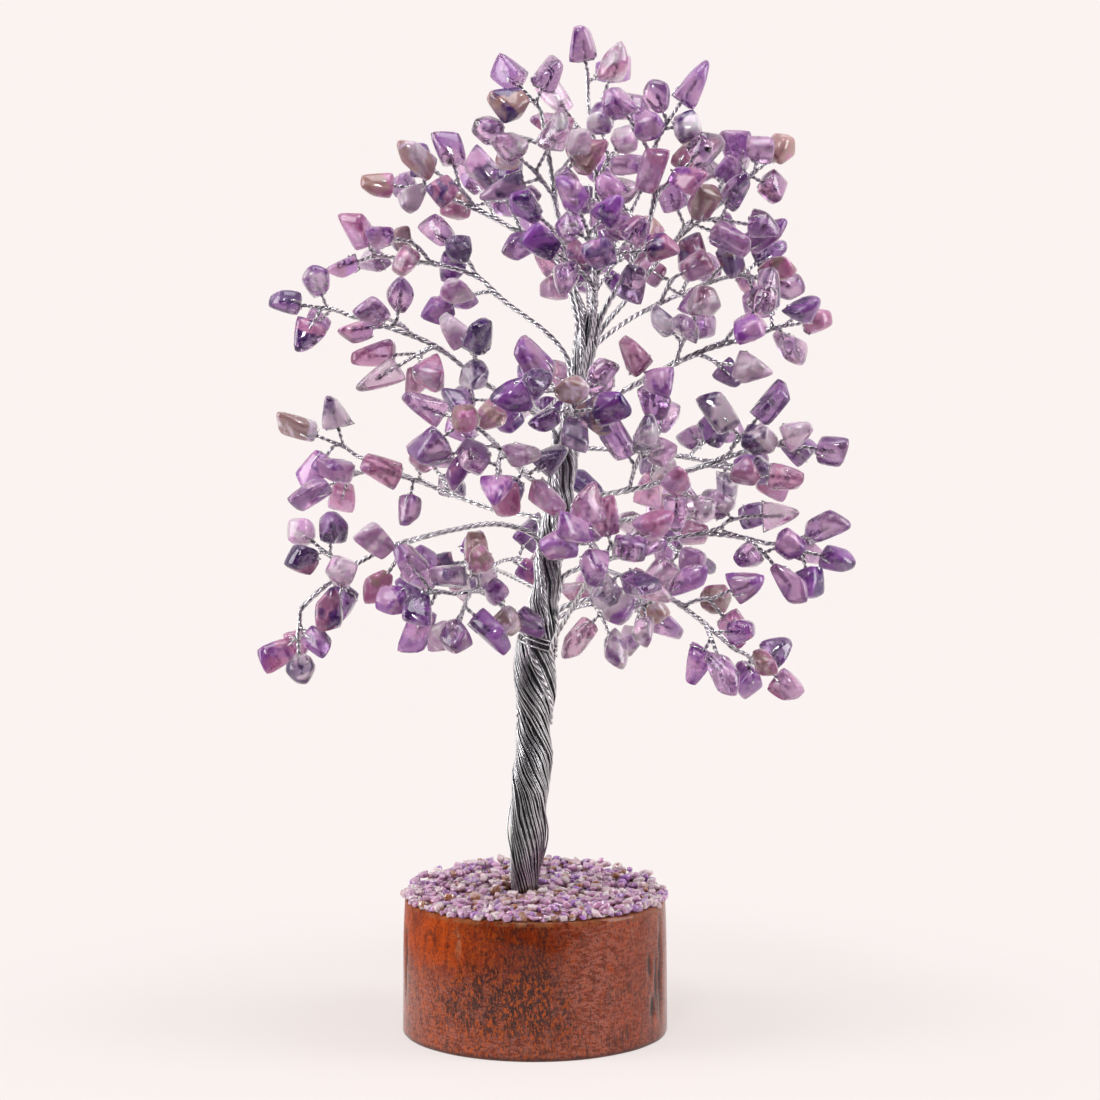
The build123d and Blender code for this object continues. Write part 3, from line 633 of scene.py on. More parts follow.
def amethyst_finish(stones):
    """Polished amethyst: two colours to a chip, veils and rust inside."""
    finish = Finish("amethyst")
    tint = finish.attribute("chip_tint", "Color")
    heart = finish.attribute("chip_heart", "Color")
    own = finish.attribute("chip_own", "Vector")
    clarity = finish.attribute("chip_clarity", "Fac")
    shifted = finish.node("ShaderNodeVectorMath", {"operation": "ADD"}, {0: finish.place, 1: own})
    zone = finish.grain(150.0, 2.0, 0.5, 0.5, shifted).between(0.44, 0.56)
    veil = finish.grain(430.0, 4.0, 0.6, 0.5, shifted).between(0.54, 0.74)
    speck = finish.grain(210.0, 3.0, 0.65, 0.8, shifted).between(0.70, 0.76)
    body = finish.mix(zone, tint, heart)
    body = finish.mix(veil * 0.58, body, stones.clear)
    body = finish.mix(speck * 0.65, body, stones.rust)
    lump = finish.grain(330.0, 2.0, place=shifted)
    normal = finish.bump(lump, 0.5 * MM, 0.15)
    polish = 0.04 + 0.08 * finish.grain(1500.0, 2.0)
    finish.set(Base_Color=body, Roughness=polish, IOR=1.54, Normal=normal, Subsurface_Weight=0.6,
               Subsurface_Radius=(1.0, 0.6, 1.1), Subsurface_Scale=2.2 * MM)
    cloudy = 0.08 + 0.20 * zone + 0.10 * veil
    glass = finish.node("ShaderNodeBsdfPrincipled", None, {
        "Base Color": finish.mix(0.36, body, stones.clear), "Roughness": cloudy, "IOR": 1.54,
        "Transmission Weight": 1.0, "Coat Weight": 0.7, "Coat Roughness": 0.03, "Normal": normal})
    milk = Shade(finish, finish.shader.outputs[0])
    finish.surface(clarity * (1.0 - 0.25 * veil - 0.15 * zone), milk, glass)
    return finish.material


def gravel_finish(gravel):
    """Small polished chips set in resin, each with its own tint."""
    finish = Finish("gravel_chips")
    tint = finish.attribute("chip_tint", "Color")
    zone = finish.grain(560.0, 2.0).between(0.42, 0.70)
    body = finish.mix(zone * 0.4, tint, gravel.cream)
    speck = finish.grain(900.0, 3.0, 0.6).between(0.66, 0.74)
    body = finish.mix(speck * 0.5, body, gravel.rust)
    finish.set(Base_Color=body, Roughness=0.06 + 0.16 * finish.grain(1800.0), IOR=1.54,
               Transmission_Weight=0.22, Coat_Weight=0.8, Coat_Roughness=0.04,
               Subsurface_Weight=0.5, Subsurface_Radius=(1.0, 0.7, 0.9), Subsurface_Scale=1.2 * MM)
    return finish.material


def resin_finish(gravel):
    """Dried glue, brownish and glossy, with cloudy patches."""
    finish = Finish("glue")
    cloud = finish.grain(230.0, 3.0).between(0.40, 0.75)
    finish.set(Base_Color=finish.mix(cloud * 0.3, gravel.resin, gravel.rust), Roughness=0.25 + 0.25 * cloud,
               Normal=finish.bump(finish.grain(500.0), 0.4 * MM))
    return finish.material


def lacquer_finish(log):
    """Debarked wood under gloss lacquer: amber at the left, a painted reflection of the bright floor as a
    pale sheen at the right and low down, dark bark mottled between.
    """
    finish = Finish("lacquered_wood")
    across, deep, high = finish.axes()
    fibre = finish.stretched(1.0, 0.6)
    broad = finish.grain(42.0, 2.0, 0.5, 0.4)
    island = finish.grain(330.0, 4.0, 0.65, 0.5, fibre)
    crust = finish.grain(800.0, 4.0, 0.65, 0.6, fibre)
    fleck = finish.grain(1500.0, 3.0, 0.65, 0.5, finish.stretched(1.0, 0.45))
    ripple = finish.grain(640.0, 3.0, 0.6, 0.5, finish.stretched(0.7, 2.4))
    front = deep.between(20 * MM, -20 * MM)
    drift = 26 * MM * (broad - 0.5)
    left = 1.0 - (across + drift).between(-20 * MM, -2 * MM)
    right = (across + drift).between(0.0, 20 * MM)
    upper = high.between(13 * MM, 27 * MM)
    body = finish.mix((island - 0.18 * (1.0 - left * upper)).between(0.30, 0.60), log.russet, log.amber)
    outer = across.between(15 * MM, 27 * MM)
    # Painted reflection: the right side and the lower left go over to the sheen colour, in place of the floor
    # and room mirrored in the lacquer.
    painted_sheen_mask = 0.95 * right * (1.0 - 0.55 * outer) + 0.85 * (1.0 - right) * (1.0 - upper)
    body = finish.mix(painted_sheen_mask * (0.30 * crust + 0.70 * ripple).between(0.41, 0.56), body, log.painted_sheen)
    middle = 1.0 - abs(across + drift + 5 * MM).between(4 * MM, 24 * MM)
    foot = high.between(3 * MM, 12 * MM)
    patch = middle * front * (1.0 - 0.55 * upper) * (0.35 + 0.65 * foot) + 0.35 * (broad - 0.35)
    streak = finish.grain(760.0, 3.0, 0.6, 0.2, finish.stretched(1.0, 0.2)).between(0.50, 0.64)
    body = finish.mix(streak * (0.5 - 0.35 * upper), body, log.umber)
    stain = (0.55 * island + 0.45 * crust + 0.13 * patch).between(0.50, 0.64) * patch.between(0.05, 0.55)
    body = finish.mix(stain * (0.60 + 0.26 * foot), body, log.umber)
    spark = (fleck + 0.30 * island).between(0.65, 0.74)
    bare = 0.20 + 0.60 * (1.0 - upper) * (1.0 - right) + 0.35 * patch
    body = finish.mix(spark * bare.math("MINIMUM", 0.9), body, log.ember)
    pit = finish.grain(2300.0, 2.0, 0.5, 0.3, fibre).between(0.50, 0.66)
    body = finish.mix(pit * (0.70 - 0.15 * left * upper), body, log.umber)
    rubbed = finish.grain(120.0, 3.0, 0.6, 0.4, fibre).between(0.60, 0.72) * crust.between(0.40, 0.55)
    body = finish.mix(rubbed * upper * front * 0.6, body, log.scuff)
    rim = high.between(33.5 * MM, 34.2 * MM) * island.between(0.40, 0.56)
    body = finish.mix(rim * 0.65, body, log.sawn)
    # Painted shade: the cracks are only a shallow dip in the side, so their dark inside is painted by mixing
    # towards umber.
    crack = finish.attribute("crack", "Fac")
    # Painted shadow: the lowest millimetre and a half of the side goes dark where the log stands on the
    # paper.
    wear_and_foot_shadow = high.between(1.5 * MM, 0.6 * MM)
    body = finish.mix((crack + 0.6 * wear_and_foot_shadow).math("MINIMUM", 0.95), body, log.umber)
    facing = finish.node("ShaderNodeSeparateXYZ", None,
                         {"Vector": finish.node("ShaderNodeNewGeometry", None, None, "Normal")}, "Z")
    end_grain = abs(facing).between(0.75, 0.95)
    rings = finish.node("ShaderNodeTexWave", {"wave_type": "RINGS", "rings_direction": "Z"},
                        {"Vector": finish.place, "Scale": 95.0, "Distortion": 2.0, "Detail": 2.0}, "Fac")
    body = finish.mix(end_grain, body, finish.mix(rings * 0.6, log.sawn, log.russet))
    tool_mark = finish.grain(150.0, 3.0, 0.6, 0.2, finish.stretched(1.0, 0.7))
    wrinkle = finish.grain(420.0, 3.0, 0.55, 0.6, finish.stretched(0.6, 2.6))
    height = tool_mark * 0.7 + wrinkle * 0.45 + fleck * 0.28 - crust * 0.30 - pit * 0.05
    gloss = 0.66 - 0.20 * stain - 0.44 * left * upper - 0.18 * upper
    finish.set(Base_Color=body, Roughness=0.34 + 0.25 * stain, Coat_Weight=gloss,
               Coat_Roughness=0.06, Specular_IOR_Level=0.05, Normal=finish.bump(height, 0.9 * MM, 0.9))
    return finish.material


class TREE_OT_log_slice(bpy.types.Operator):
    """Turn the log slice, hollow its side a little and open the drying cracks"""

    bl_idname = "gem_tree.log_slice"
    bl_label = "Log Slice"

    crack_degrees = (-21.5, -25.5, -29.5, -31.5, 130.0, 196.0)
    crack_starts = (5.0, 7.5, 6.0, 17.0, 5.0, 9.0)
    crack_lengths = (28.0, 16.0, 8.0, 7.0, 24.0, 20.0)
    crack_sway = 1.6
    crack_half_width = 2.0
    crack_steepness = 1.7
    crack_depth = 0.5 * MM
    ring_heights = 30
    ring_steps = 240
    taper_share = 0.016
    taper_start = 0.4
    side_share = 0.6

    def execute(self, context):
        log = context.scene.tree_log
        low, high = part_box("wood_base")
        radius, height = (high.x - low.x) / 2, high.z
        middle = Vector(((high.x + low.x) / 2, (high.y + low.y) / 2, 0.0))
        bm = bmesh.new()
        profile = [(0.0, 0.0), (radius * 0.5, 0.0), (radius - log.edge, 0.0),
                   (radius - log.edge * 0.3, log.edge * 0.3)]
        for number in range(self.ring_heights + 1):
            share = number / self.ring_heights
            bent = max(0.0, share - self.taper_start) / (1.0 - self.taper_start)
            taper = 1.0 - self.taper_share * bent ** 2
            profile.append((radius * taper, log.edge + (height - 2 * log.edge) * share))
        upper = radius * (1.0 - self.taper_share)
        profile += [(upper - log.edge * 0.3, height - log.edge * 0.3), (upper - log.edge, height),
                    (radius * 0.5, height), (0.0, height)]
        line = [bm.verts.new((across, 0.0, up)) for across, up in profile]
        edges = [bm.edges.new(pair) for pair in zip(line, line[1:])]
        bmesh.ops.spin(bm, geom=line + edges, cent=(0, 0, 0), axis=(0, 0, 1), angle=math.tau,
                       steps=self.ring_steps, use_merge=True)
        bmesh.ops.remove_doubles(bm, verts=bm.verts, dist=MERGE_DISTANCE)
        crack = bm.verts.layers.float.new("crack")
        for corner in bm.verts:
            out = math.hypot(corner.co.x, corner.co.y)
            if out > radius * self.side_share:
                corner[crack] = self.crack_at(corner.co, height)
                dip = self.hollow(corner.co, log.lump, height) + corner[crack] * self.crack_depth
                corner.co.xy *= 1.0 - dip / out
            corner.co += middle
        made = piece("log_slice", mesh_from(bm, "log_slice"), lacquer_finish(log))
        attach(made, "stand")
        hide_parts("wood_base")
        return {"FINISHED"}

    def hollow(self, place, depth, height):
        """How far the side lies inside the turned slice here."""
        broad = noise.noise(Vector((place.x * 45, place.y * 45, place.z * 22)))
        fine = noise.noise(Vector((place.x * 190, place.y * 190, place.z * 70)) + Vector((3, 7, 1)))
        waist = 4.0 * (place.z / height) * (1.0 - place.z / height)
        return depth * (0.30 + 0.35 * broad + 0.22 * fine + 0.15 * waist)

    def crack_at(self, place, height):
        """1 in the middle of a drying crack, 0 away from all of them."""
        turn = math.degrees(math.atan2(place.y, place.x))
        deepest = 0.0
        for degrees, start, length in zip(self.crack_degrees, self.crack_starts, self.crack_lengths):
            up = (place.z / MM - start) / length
            if 0.0 < up < 1.0:
                sway = self.crack_sway * noise.noise(Vector((degrees, place.z * 160, 0.0)))
                gap = abs((turn - degrees - sway + 180.0) % 360.0 - 180.0)
                width = min(1.0, 4.0 * up * (1.0 - up) + 0.1)
                inside = 1.0 - min(1.0, gap / self.crack_half_width)
                deepest = max(deepest, min(1.0, self.crack_steepness * inside) * width)
        return deepest


class TREE_OT_gravel(bpy.types.Operator):
    """Strew the small chips over the resin on top of the log"""

    bl_idname = "gem_tree.gravel"
    bl_label = "Gravel Bed"

    lower_share = 0.52
    rim_share = 0.15
    heap_share = 0.17
    length_shares = (0.60, 1.05)
    width_shares = (0.34, 0.46)
    thick_shares = (0.22, 0.34)
    shapes = 14
    golden_turn = math.radians(137.508)
    rim_width = 1.9 * MM
    spill_depth = 0.7 * MM
    spill_width = 2.2 * MM
    heap_height = 1.3 * MM
    back_height = 0.9 * MM
    tilts = {"X": 0.45, "Y": 0.4}
    glue_reach = 5 * MM
    tint_names = ("lilac",) * 7 + ("violet",) * 3 + ("cream",) * 4 + ("rust",)

    def execute(self, context):
        gravel = context.scene.tree_gravel
        chance = random.Random(SEED)
        low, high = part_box("gravel")
        bed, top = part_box("glue_bed")[1].z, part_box("wood_base")[1].z
        edge = (high.x - low.x) / 2
        rim = edge - gravel.size * 0.22
        middle = Vector(((high.x + low.x) / 2, (high.y + low.y) / 2, 0.0))
        foot, foot_radius = Trunk().at(bed)
        crushed = [self.crushed(chance) for _ in range(self.shapes)]
        bm = bmesh.new()
        tint = bm.verts.layers.float_color.new("chip_tint")
        lower = int(gravel.count * self.lower_share)
        ring = lower + int(gravel.count * self.rim_share)
        heap = ring + int(gravel.count * self.heap_share)
        for number in range(gravel.count):
            in_lower, on_rim, heaped = number < lower, lower <= number < ring, ring <= number < heap
            size = gravel.size * chance.uniform(*self.length_shares)
            wide, thick = (chance.uniform(*shares) for shares in (self.width_shares, self.thick_shares))
            axes = Vector((0.5, wide, thick)) * size
            turn = number * self.golden_turn + chance.uniform(-0.25, 0.25)
            share = (number + 0.5) / lower if in_lower else chance.random()
            out = rim * math.sqrt(share) + chance.uniform(-0.6, 0.5) * MM
            if on_rim:
                out = edge - chance.uniform(0.0, self.rim_width)
                turn = math.tau * (number - lower) / (ring - lower) + chance.uniform(-0.02, 0.02)
            if heaped:
                turn = abs(turn % math.tau - math.pi)
            spot = middle + Vector(outward(turn) * out)
            away = math.hypot(spot.x - foot[0], spot.y - foot[1]) - foot_radius
            if away < gravel.size * 0.10:
                continue
            spill = self.spill_depth * min(1.0, max(0.0, (out - rim) / self.spill_width + 1.0))
            rise = axes.z * 0.7 if in_lower else axes.z + chance.uniform(0.5, 0.9) * MM
            if heaped:
                rise += self.heap_height * min(1.0, spot.y / (0.5 * rim))
            spot.z = bed + rise - spill + self.back_height * max(0.0, spot.y / rim)
            if on_rim:
                spot.z = top + axes.z * 0.8 + chance.uniform(-0.35, 0.75) * MM
            turned = Matrix.Rotation(chance.uniform(0, math.tau), 3, "Z")
            for axis, most in self.tilts.items():
                turned = turned @ Matrix.Rotation(chance.uniform(-most, most), 3, axis)
            colour = self.colour(gravel, away, chance)
            for corner in added(bm, chance.choice(crushed)):
                corner.co = spot + turned @ (corner.co * axes)
                corner[tint] = colour
        made = piece("gravel_bed", mesh_from(bm, "gravel_bed"), gravel_finish(gravel))
        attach(made, "stand")
        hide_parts("gravel")
        for shape in crushed:
            bpy.data.meshes.remove(shape)
        resin = resin_finish(gravel)
        for node in ("glue_bed", "glue_plug"):
            materials = frame["nodes"][node].data.materials
            materials.clear()
            materials.append(resin)
        return {"FINISHED"}

    def crushed(self, chance):
        """One crushed chip: a skewed block with rounded-off edges, two units across."""
        bm = bmesh.new()
        bmesh.ops.create_cube(bm, size=1.7)
        for corner in bm.verts:
            corner.co *= 0.8
            corner.co += Vector([chance.uniform(-0.42, 0.42) for _ in range(3)])
        wear_and_foot_shadow(bm, 0.26)
        return mesh_from(bm, "crushed_chip")

    def colour(self, gravel, away, chance):
        """A tint for one chip, browner in the glue beside the trunk."""
        name = chance.choice(self.tint_names)
        if away < self.glue_reach and chance.random() < 0.4:
            name = chance.choice(("rust", "resin", "cream"))
        return tinted(gravel, name, chance.uniform(0.80, 1.22))


class TREE_OT_trunk(bpy.types.Operator):
    """Lay the trunk's wires round each other, fewer of them above every group of limbs"""

    bl_idname = "gem_tree.trunk"
    bl_label = "Trunk Rope"

    step = 2.5 * MM
    lobes = 3
    lobe_share = 0.06
    swell_heights = (34.0, 39.0, 45.0, 52.0, 58.0, 65.0, 71.0, 76.0, 80.0, 84.0, 89.0, 97.0, 106.0, 112.0)
    swell_shares = (-0.38, -0.32, -0.18, -0.12, -0.13, -0.05, -0.03, -0.13, -0.17, -0.10, 0.04, 0.06,
                    0.02, 0.0)
    golden_share = 0.6180339887
    crowding = 1.08
    sink_start_share = 0.06
    sink_depth = 14 * MM
    proud = 0.08 * MM
    loose_share = 0.08
    loose_reach = 0.9 * MM
    loose_height = 54.0
    loose_spread = 9.0
    wrap_heights = (107.0, 105.9, 104.4)
    wrap_drop = 6.0 * MM
    wrap_degrees = 190.0

    def execute(self, context):
        wire = context.scene.tree_wire
        chance = random.Random(SEED + 1)
        trunk = Trunk()
        radius = wire.trunk_gauge / 2
        most = int(math.tau * trunk.radii.max() / wire.trunk_gauge)
        heights = np.arange(trunk.low, trunk.high, self.step)
        strands = []
        for number in range(most):
            keep = (number * self.golden_share) % 1.0
            offset = chance.uniform(-0.35, 0.35)
            sway = chance.uniform(0, math.tau)
            proud = chance.uniform(-self.proud, self.proud)
            lay = chance.uniform(0.98, 1.02)
            loose = self.loose_reach if chance.random() < self.loose_share else 0.0
            places = []
            for height in heights:
                middle, reach = self.at(trunk, height)
                room = math.tau * (reach - radius) / wire.trunk_gauge / most
                if keep > room * self.crowding:
                    break
                turn = math.tau * (number + offset) / most - trunk.twist(height) * lay
                turn += 0.04 * math.sin(height / MM / 9.0 + sway)
                sink = max(0.0, keep - room + self.sink_start_share) * self.sink_depth
                out = (reach - radius) * (1.0 + self.bulge(turn, height, trunk)) + proud
                out += loose * math.exp(-((height / MM - self.loose_height) / self.loose_spread) ** 2)
                out -= min(sink, reach * 0.5)
                places.append(middle + out * outward(turn))
            if len(places) > 3:
                strands.append((places, radius))
        middles, reaches = zip(*(self.at(trunk, height) for height in heights))
        strands.append((middles, np.array(reaches) * (1.0 - self.lobe_share) - radius * 0.9))
        strands += [(self.wrap(trunk, height * MM, radius), radius) for height in self.wrap_heights]
        # Painted shade: the trunk's silver is scaled darker than the limbs' and takes more groove shade,
        # standing in for the dark room mirrored in its middle.
        finish = silver_finish("trunk_silver", wire, 0.98, (0.66, 1.0))
        made = piece("trunk_rope", wire_mesh("trunk_rope", strands), finish)
        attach(made, "stand")
        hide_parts("trunk_lower", "trunk_middle", "trunk_upper")
        return {"FINISHED"}

    def at(self, trunk, height):
        """Middle and radius of the rope, with its waist and its shoulder."""
        middle, reach = trunk.at(height)
        return middle, reach * (1.0 + np.interp(height / MM, self.swell_heights, self.swell_shares))

    def bulge(self, turn, height, trunk):
        """How far the rope's lobes stand out at a turn and height."""
        return self.lobe_share * math.cos(self.lobes * (turn + trunk.twist(height)))

    def wrap(self, trunk, high, radius):
        """One wire of the tie round the shoulder, from high at the left to low at the right."""
        places = []
        for share in np.linspace(0.0, 1.0, 15):
            height = high - self.wrap_drop * share
            middle, reach = self.at(trunk, height)
            turn = math.radians(self.wrap_degrees * (share - 1.0))
            out = reach * (1.0 + self.lobe_share) + radius * (1.0 - 20.0 * abs(share - 0.5) ** 3)
            places.append(middle + out * outward(turn))
        return places


class TREE_OT_limb_wires(bpy.types.Operator):
    """Twist every limb out of the trunk, with its shoots, its twigs and the loop at each stone"""

    bl_idname = "gem_tree.limb_wires"
    bl_label = "Limbs, Shoots and Twigs"

    blend_length = 10 * MM
    smoothing = 6
    shoot_lead = 6 * MM
    twig_lead = 3 * MM
    limb_ring_share = 0.53
    limb_strand_share = 0.88
    shoot_ring_shares = (1.25, 1.1)
    loop_share = 0.9
    loop_ends = (55, 85)
    tail_shares = (1.0, 0.8, 0.6, 0.4, 0.2)

    def execute(self, context):
        wire = context.scene.tree_wire
        chance = random.Random(SEED + 2)
        trunk = Trunk()
        radius = wire.gauge / 2
        # Painted light: the limbs' silver is scaled brighter than the trunk's for brighter highlights, and
        # takes less groove shade.
        finish = silver_finish("limb_silver", wire, 1.08, (0.42, 0.90))
        for limb, root in ROOTS.items():
            spine, radii, boughs, chips, stems = limb_parts(limb, root)
            routes = [np.concatenate((self.tail(trunk, root, wire, radii[0]), spine))]
            routes += [led_in(line, spine, self.shoot_lead) for line in boughs]
            order = sorted(stems)
            for number in order:
                host = min(boughs, key=lambda line: nearest_on(line, stems[number][0])[1])
                routes.append(led_in(stems[number], host, self.twig_lead))
            lines = smooth_lines(routes, self.smoothing)
            ring = [max(reach * self.limb_ring_share, radius) for reach in (radii[0], radii[-1])]
            twist = twisted(lines[0], wire.limb_strands, ring, wire.limb_pitch, chance.uniform(*PHASES))
            strands = [(line, self.limb_strand_share * np.linspace(*ring, len(line))) for line in twist]
            ring = [radius * share for share in self.shoot_ring_shares]
            first_twig = 1 + len(boughs)
            for line in lines[1:first_twig]:
                twist = twisted(line, wire.shoot_strands, ring, wire.shoot_pitch, chance.uniform(*PHASES))
                strands += [(strand, radius) for strand in twist]
            for line, number in zip(lines[first_twig:], order):
                twist = twisted(line, 2, (radius, radius), wire.twig_pitch, chance.uniform(*PHASES))
                for strand, end in zip(twist, self.loop(chips[number], stems[number], chance)):
                    strands += [(strand, radius), (end, radius * self.loop_share)]
            made = piece(limb, wire_mesh(limb, strands), finish)
            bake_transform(made)
            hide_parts(limb + "_wire")
        return {"FINISHED"}

    def tail(self, trunk, root, wire, reach):
        """Points of the limb's wires on the trunk, from where they sink in up to the limb's root."""
        middle, _ = trunk.at(root.z)
        turn = math.atan2(root.y - middle[1], root.x - middle[0])
        points = []
        for share in self.tail_shares:
            height = max(root.z - wire.tail * share, trunk.low)
            centre, out = trunk.at(height)
            angle = turn + trunk.twist(root.z) - trunk.twist(height)
            out += reach * (0.5 - 1.6 * share)
            points.append(centre + out * outward(angle))
        return np.array(points)

    def loop(self, chip, stem, chance):
        """The two ends of wire that hug the foot of a stone and go into its drilling."""
        foot = (stem[-1] - stem[0]) / np.linalg.norm(stem[-1] - stem[0])
        thin = chip.normals[int(np.argmin(chip.depths))]
        side = thin - foot * np.dot(thin, foot)
        if np.linalg.norm(side) < 0.2:
            side = np.cross(foot, np.eye(3)[int(np.argmin(np.abs(foot)))])
        side /= np.linalg.norm(side)
        ends = []
        for sign in (1.0, -1.0):
            places = []
            last = chance.uniform(*self.loop_ends)
            # Degrees from the stone's foot, and millimetres that the wire's middle stands off its face.
            for degrees, lift in ((8, 0.10), (28, 0.16), (last * 0.8, 0.12), (last, -0.7)):
                turn = math.radians(degrees)
                way = -foot * math.cos(turn) + sign * side * math.sin(turn)
                places.append(chip.middle + way * (chip.reach(way) + lift * MM))
            ends.append(np.array(places))
        return ends


class TREE_OT_stones(bpy.types.Operator):
    """Tumble the drilled chips and give each its own two colours"""

    bl_idname = "gem_tree.stones"
    bl_label = "Amethyst Chips"

    tint_shares = (("deep", 0.18, "violet"), ("violet", 0.26, "lilac"), ("lilac", 0.33, "violet"),
                   ("mauve", 0.12, "lilac"), ("smoke", 0.11, "mauve"))
    other_share = 0.5
    other_tints = ("clear", "clear", "clear", "deep", "mauve")
    clarity_shares = {"deep": 0.60, "violet": 0.72, "lilac": 0.80, "mauve": 0.70, "smoke": 0.50}
    swell = 1.08
    uneven_share = 0.13
    uneven_size = 4.5 * MM

    def execute(self, context):
        stones = context.scene.tree_stones
        chance = random.Random(SEED + 3)
        finish = amethyst_finish(stones)
        for limb in ROOTS:
            bm = bmesh.new()
            layers = bm.verts.layers
            tint = layers.float_color.new("chip_tint")
            heart = layers.float_color.new("chip_heart")
            own = layers.float_vector.new("chip_own")
            clarity = layers.float.new("chip_clarity")
            for corners, _ in solids_of(limb + "_stones"):
                first, second, clear = self.colours(stones, chance)
                shift = Vector([chance.uniform(-1, 1) for _ in range(3)])
                shape = self.tumbled(corners, stones.rounding * chance.uniform(0.7, 1.2), shift)
                for corner in added(bm, shape):
                    corner[tint], corner[heart] = first, second
                    corner[own], corner[clarity] = shift, clear
                bpy.data.meshes.remove(shape)
            made = piece(limb + "_chips", mesh_from(bm, limb + "_chips"), finish)
            rounder = made.modifiers.new("tumbled", "SUBSURF")
            rounder.levels = rounder.render_levels = 1
            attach(made, limb + "_limb")
            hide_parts(limb + "_stones")
        return {"FINISHED"}

    def tumbled(self, corners, rounding, shift):
        """A stone's ground faces with rounded-off edges and slightly uneven faces."""
        bm = Chip.hull(corners)
        wear_and_foot_shadow(bm, rounding)
        middle = Vector((corners.min(0) + corners.max(0)) / 2)
        for corner in bm.verts:
            out = corner.co - middle
            uneven = self.uneven_share * noise.noise(out / self.uneven_size + shift * 9)
            corner.co = np.clip(middle + out * (self.swell + uneven), *CAD_BOX)
        return mesh_from(bm, "chip")

    def colours(self, stones, chance):
        """Two colours for one chip and how clear it is."""
        draw = chance.random()
        for name, share, second in self.tint_shares:
            if draw < share:
                break
            draw -= share
        if chance.random() < self.other_share:
            second = chance.choice(self.other_tints)
        both = [tinted(stones, tone, chance.uniform(0.78, 1.25)) for tone in (name, second)]
        return *both, self.clarity_shares[name] * chance.uniform(0.7, 1.3)


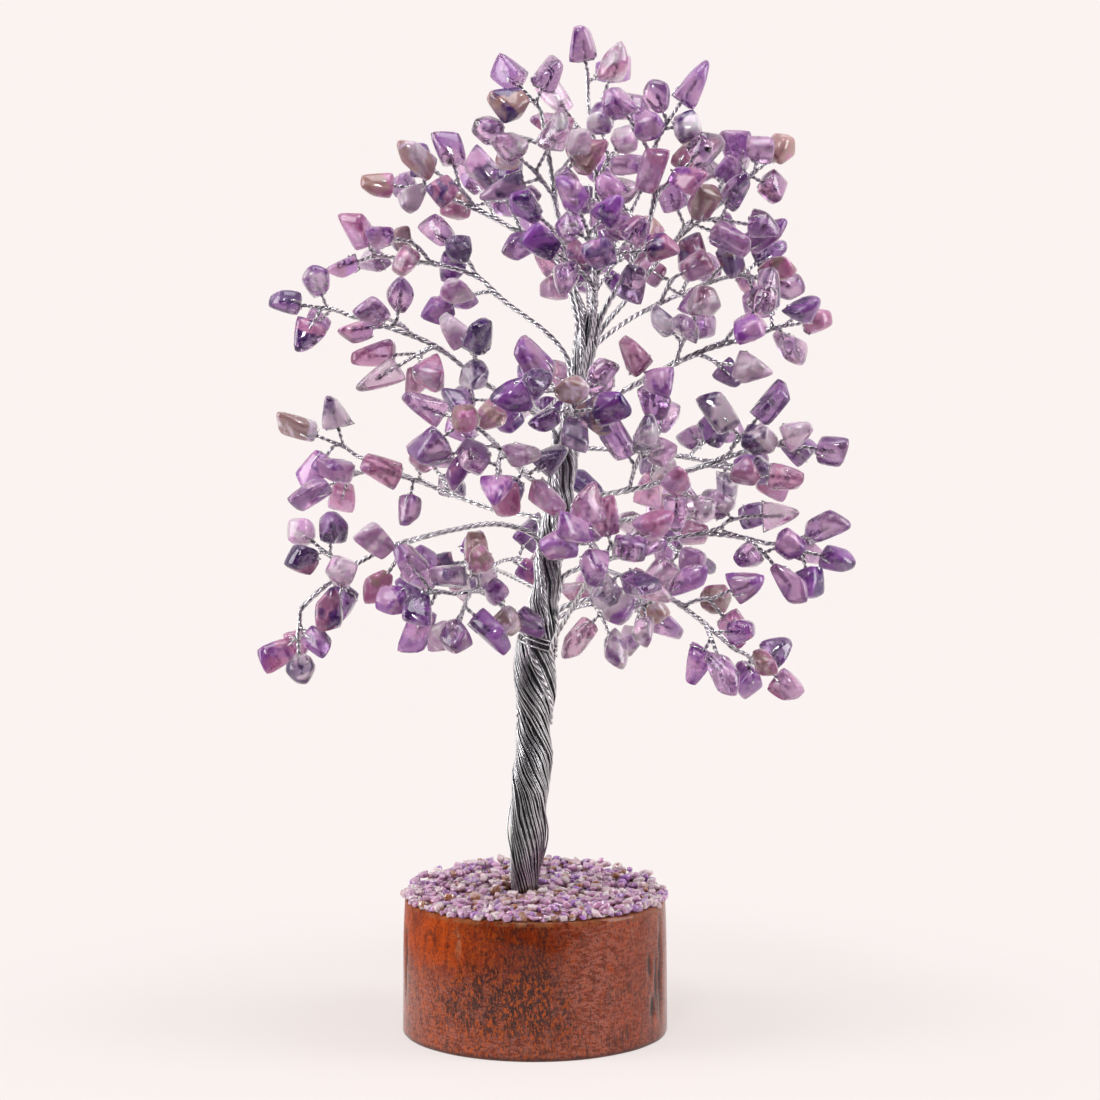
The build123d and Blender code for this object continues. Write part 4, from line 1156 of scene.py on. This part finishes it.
class TREE_OT_stage(bpy.types.Operator):
    """Set the camera, the softboxes and the pale paper sweep"""

    bl_idname = "gem_tree.stage"
    bl_label = "Stage"

    lamps = (("left", (-0.95, -0.25, 0.55), (0.55, 0.9)), ("right", (0.95, -0.15, 0.50), (0.45, 0.9)),
             ("top", (0.05, -0.25, 1.15), (0.8, 0.6)), ("front", (-0.22, -0.85, 0.80), (0.16, 0.16)))
    lamp_aim = (0.0, 0.0, 0.13)
    paper_side, paper_back, paper_height, paper_bend = 4.0, 1.5, 3.0, 0.9

    def execute(self, context):
        scene = context.scene
        stage = scene.tree_stage
        scene.view_settings.view_transform = "Standard"
        lens = bpy.data.cameras.new("photo_camera")
        lens.lens = stage.lens
        lens.clip_start = 0.01
        camera = bpy.data.objects.new("photo_camera", lens)
        camera.location = stage.eye
        camera.rotation_euler = facing(stage.eye, stage.aim)
        scene.collection.objects.link(camera)
        scene.camera = camera
        for side, place, size in self.lamps:
            self.softbox(side + "_softbox", place, size, getattr(stage, side))
        self.sweep(stage)
        self.surroundings(stage)
        return {"FINISHED"}

    def softbox(self, name, place, size, power):
        """A soft rectangular lamp that faces the tree."""
        lamp = bpy.data.lights.new(name, "AREA")
        lamp.shape = "RECTANGLE"
        lamp.size, lamp.size_y = size
        lamp.energy = power
        box = bpy.data.objects.new(name, lamp)
        box.location = place
        box.rotation_euler = facing(place, self.lamp_aim)
        bpy.context.scene.collection.objects.link(box)

    def sweep(self, stage):
        """Paper that runs back from under the log and curves up behind it."""
        bm = bmesh.new()
        profile = ((-stage.paper_front, 0.0), (self.paper_back, 0.0), (self.paper_back, self.paper_height))
        line = [bm.verts.new((-self.paper_side, *place)) for place in profile]
        edges = [bm.edges.new(pair) for pair in zip(line, line[1:])]
        made = bmesh.ops.extrude_edge_only(bm, edges=edges)
        far = [item for item in made["geom"] if isinstance(item, bmesh.types.BMVert)]
        bmesh.ops.translate(bm, verts=far, vec=(2 * self.paper_side, 0, 0))
        corner = {end for end in bm.verts if end.co.y > 0.0 and end.co.z == 0.0}
        bend = [edge for edge in bm.edges if corner.issuperset(edge.verts)]
        bmesh.ops.bevel(bm, geom=bend, offset=self.paper_bend, segments=24, profile=0.5, affect="EDGES",
                        material=-1)
        mesh = bpy.data.meshes.new("paper_sweep")
        bm.to_mesh(mesh)
        bm.free()
        mesh.shade_smooth()
        paper = bpy.data.objects.new("paper_sweep", mesh)
        bpy.context.scene.collection.objects.link(paper)
        finish = Finish("paper")
        ray = finish.node("ShaderNodeLightPath", None, None, "Is Camera Ray")
        seen = ray + ray.other("Is Glossy Ray") + ray.other("Is Transmission Ray")
        away = finish.node("ShaderNodeVectorMath", {"operation": "LENGTH"}, {0: finish.place}, "Value")
        far = away.between(stage.shadow_reach * 0.5, stage.shadow_reach)
        own_light = stage.glow + (1.0 - stage.glow) * far
        lit = [part * stage.floor_tone for part in stage.paper]
        plain = finish.node("ShaderNodeBsdfDiffuse", None, {"Color": lit})
        glow = finish.node("ShaderNodeEmission", None, {"Color": stage.paper})
        finish.surface(seen.math("MINIMUM", 1.0) * own_light, plain, glow)
        mesh.materials.append(finish.material)

    def surroundings(self, stage):
        """A pale backdrop, and a room that is dark behind the camera, more sharply so in metal and glass."""
        room = Room("room")
        bpy.context.scene.world = room.world
        ray = room.node("ShaderNodeLightPath", None, None, "Is Camera Ray")
        mirrored = ray.other("Is Glossy Ray") + ray.other("Is Transmission Ray")
        ahead = room.axes()[1]
        soft = room.mix(ahead.between(-0.72, -0.05), stage.dark, stage.room)
        sharp = room.mix(ahead.between(-0.34, 0.04), stage.dark, stage.paper)
        room.set(Color=room.mix(ray, room.mix(mirrored, soft, sharp), stage.paper))


class TREE_PT_panel(bpy.types.Panel):
    """The tree's settings and the steps that build it"""

    bl_label = "Gem Tree"
    bl_idname = "TREE_PT_panel"
    bl_space_type = "VIEW_3D"
    bl_region_type = "UI"
    bl_category = "Gem Tree"

    def draw(self, context):
        for settings in GROUPS:
            group, box = getattr(context.scene, settings), self.layout.box()
            for name in group.bl_rna.properties.keys():
                if name not in {"rna_type", "name"}:
                    box.prop(group, name)
        for step in STEPS:
            self.layout.operator(step.bl_idname)


GROUPS = {"tree_wire": WireSizes, "tree_stones": StoneColours, "tree_gravel": GravelSizes,
          "tree_log": LogSizes, "tree_stage": StageSettings}
STEPS = (TREE_OT_stage, TREE_OT_log_slice, TREE_OT_gravel, TREE_OT_trunk, TREE_OT_limb_wires, TREE_OT_stones)


def register():
    """Add the classes and hang the settings on the scene."""
    for group in (*GROUPS.values(), *STEPS, TREE_PT_panel):
        bpy.utils.register_class(group)
    for name, group in GROUPS.items():
        setattr(bpy.types.Scene, name, PointerProperty(type=group))


def unregister():
    """Take the settings and the classes away again."""
    for name in GROUPS:
        delattr(bpy.types.Scene, name)
    for group in (TREE_PT_panel, *reversed(STEPS), *reversed(list(GROUPS.values()))):
        bpy.utils.unregister_class(group)


def main():
    """Build the tree piece by piece."""
    register()
    bpy.ops.gem_tree.stage()
    bpy.ops.gem_tree.log_slice()
    bpy.ops.gem_tree.gravel()
    bpy.ops.gem_tree.trunk()
    bpy.ops.gem_tree.limb_wires()
    bpy.ops.gem_tree.stones()


if __name__ == "__main__":
    main()
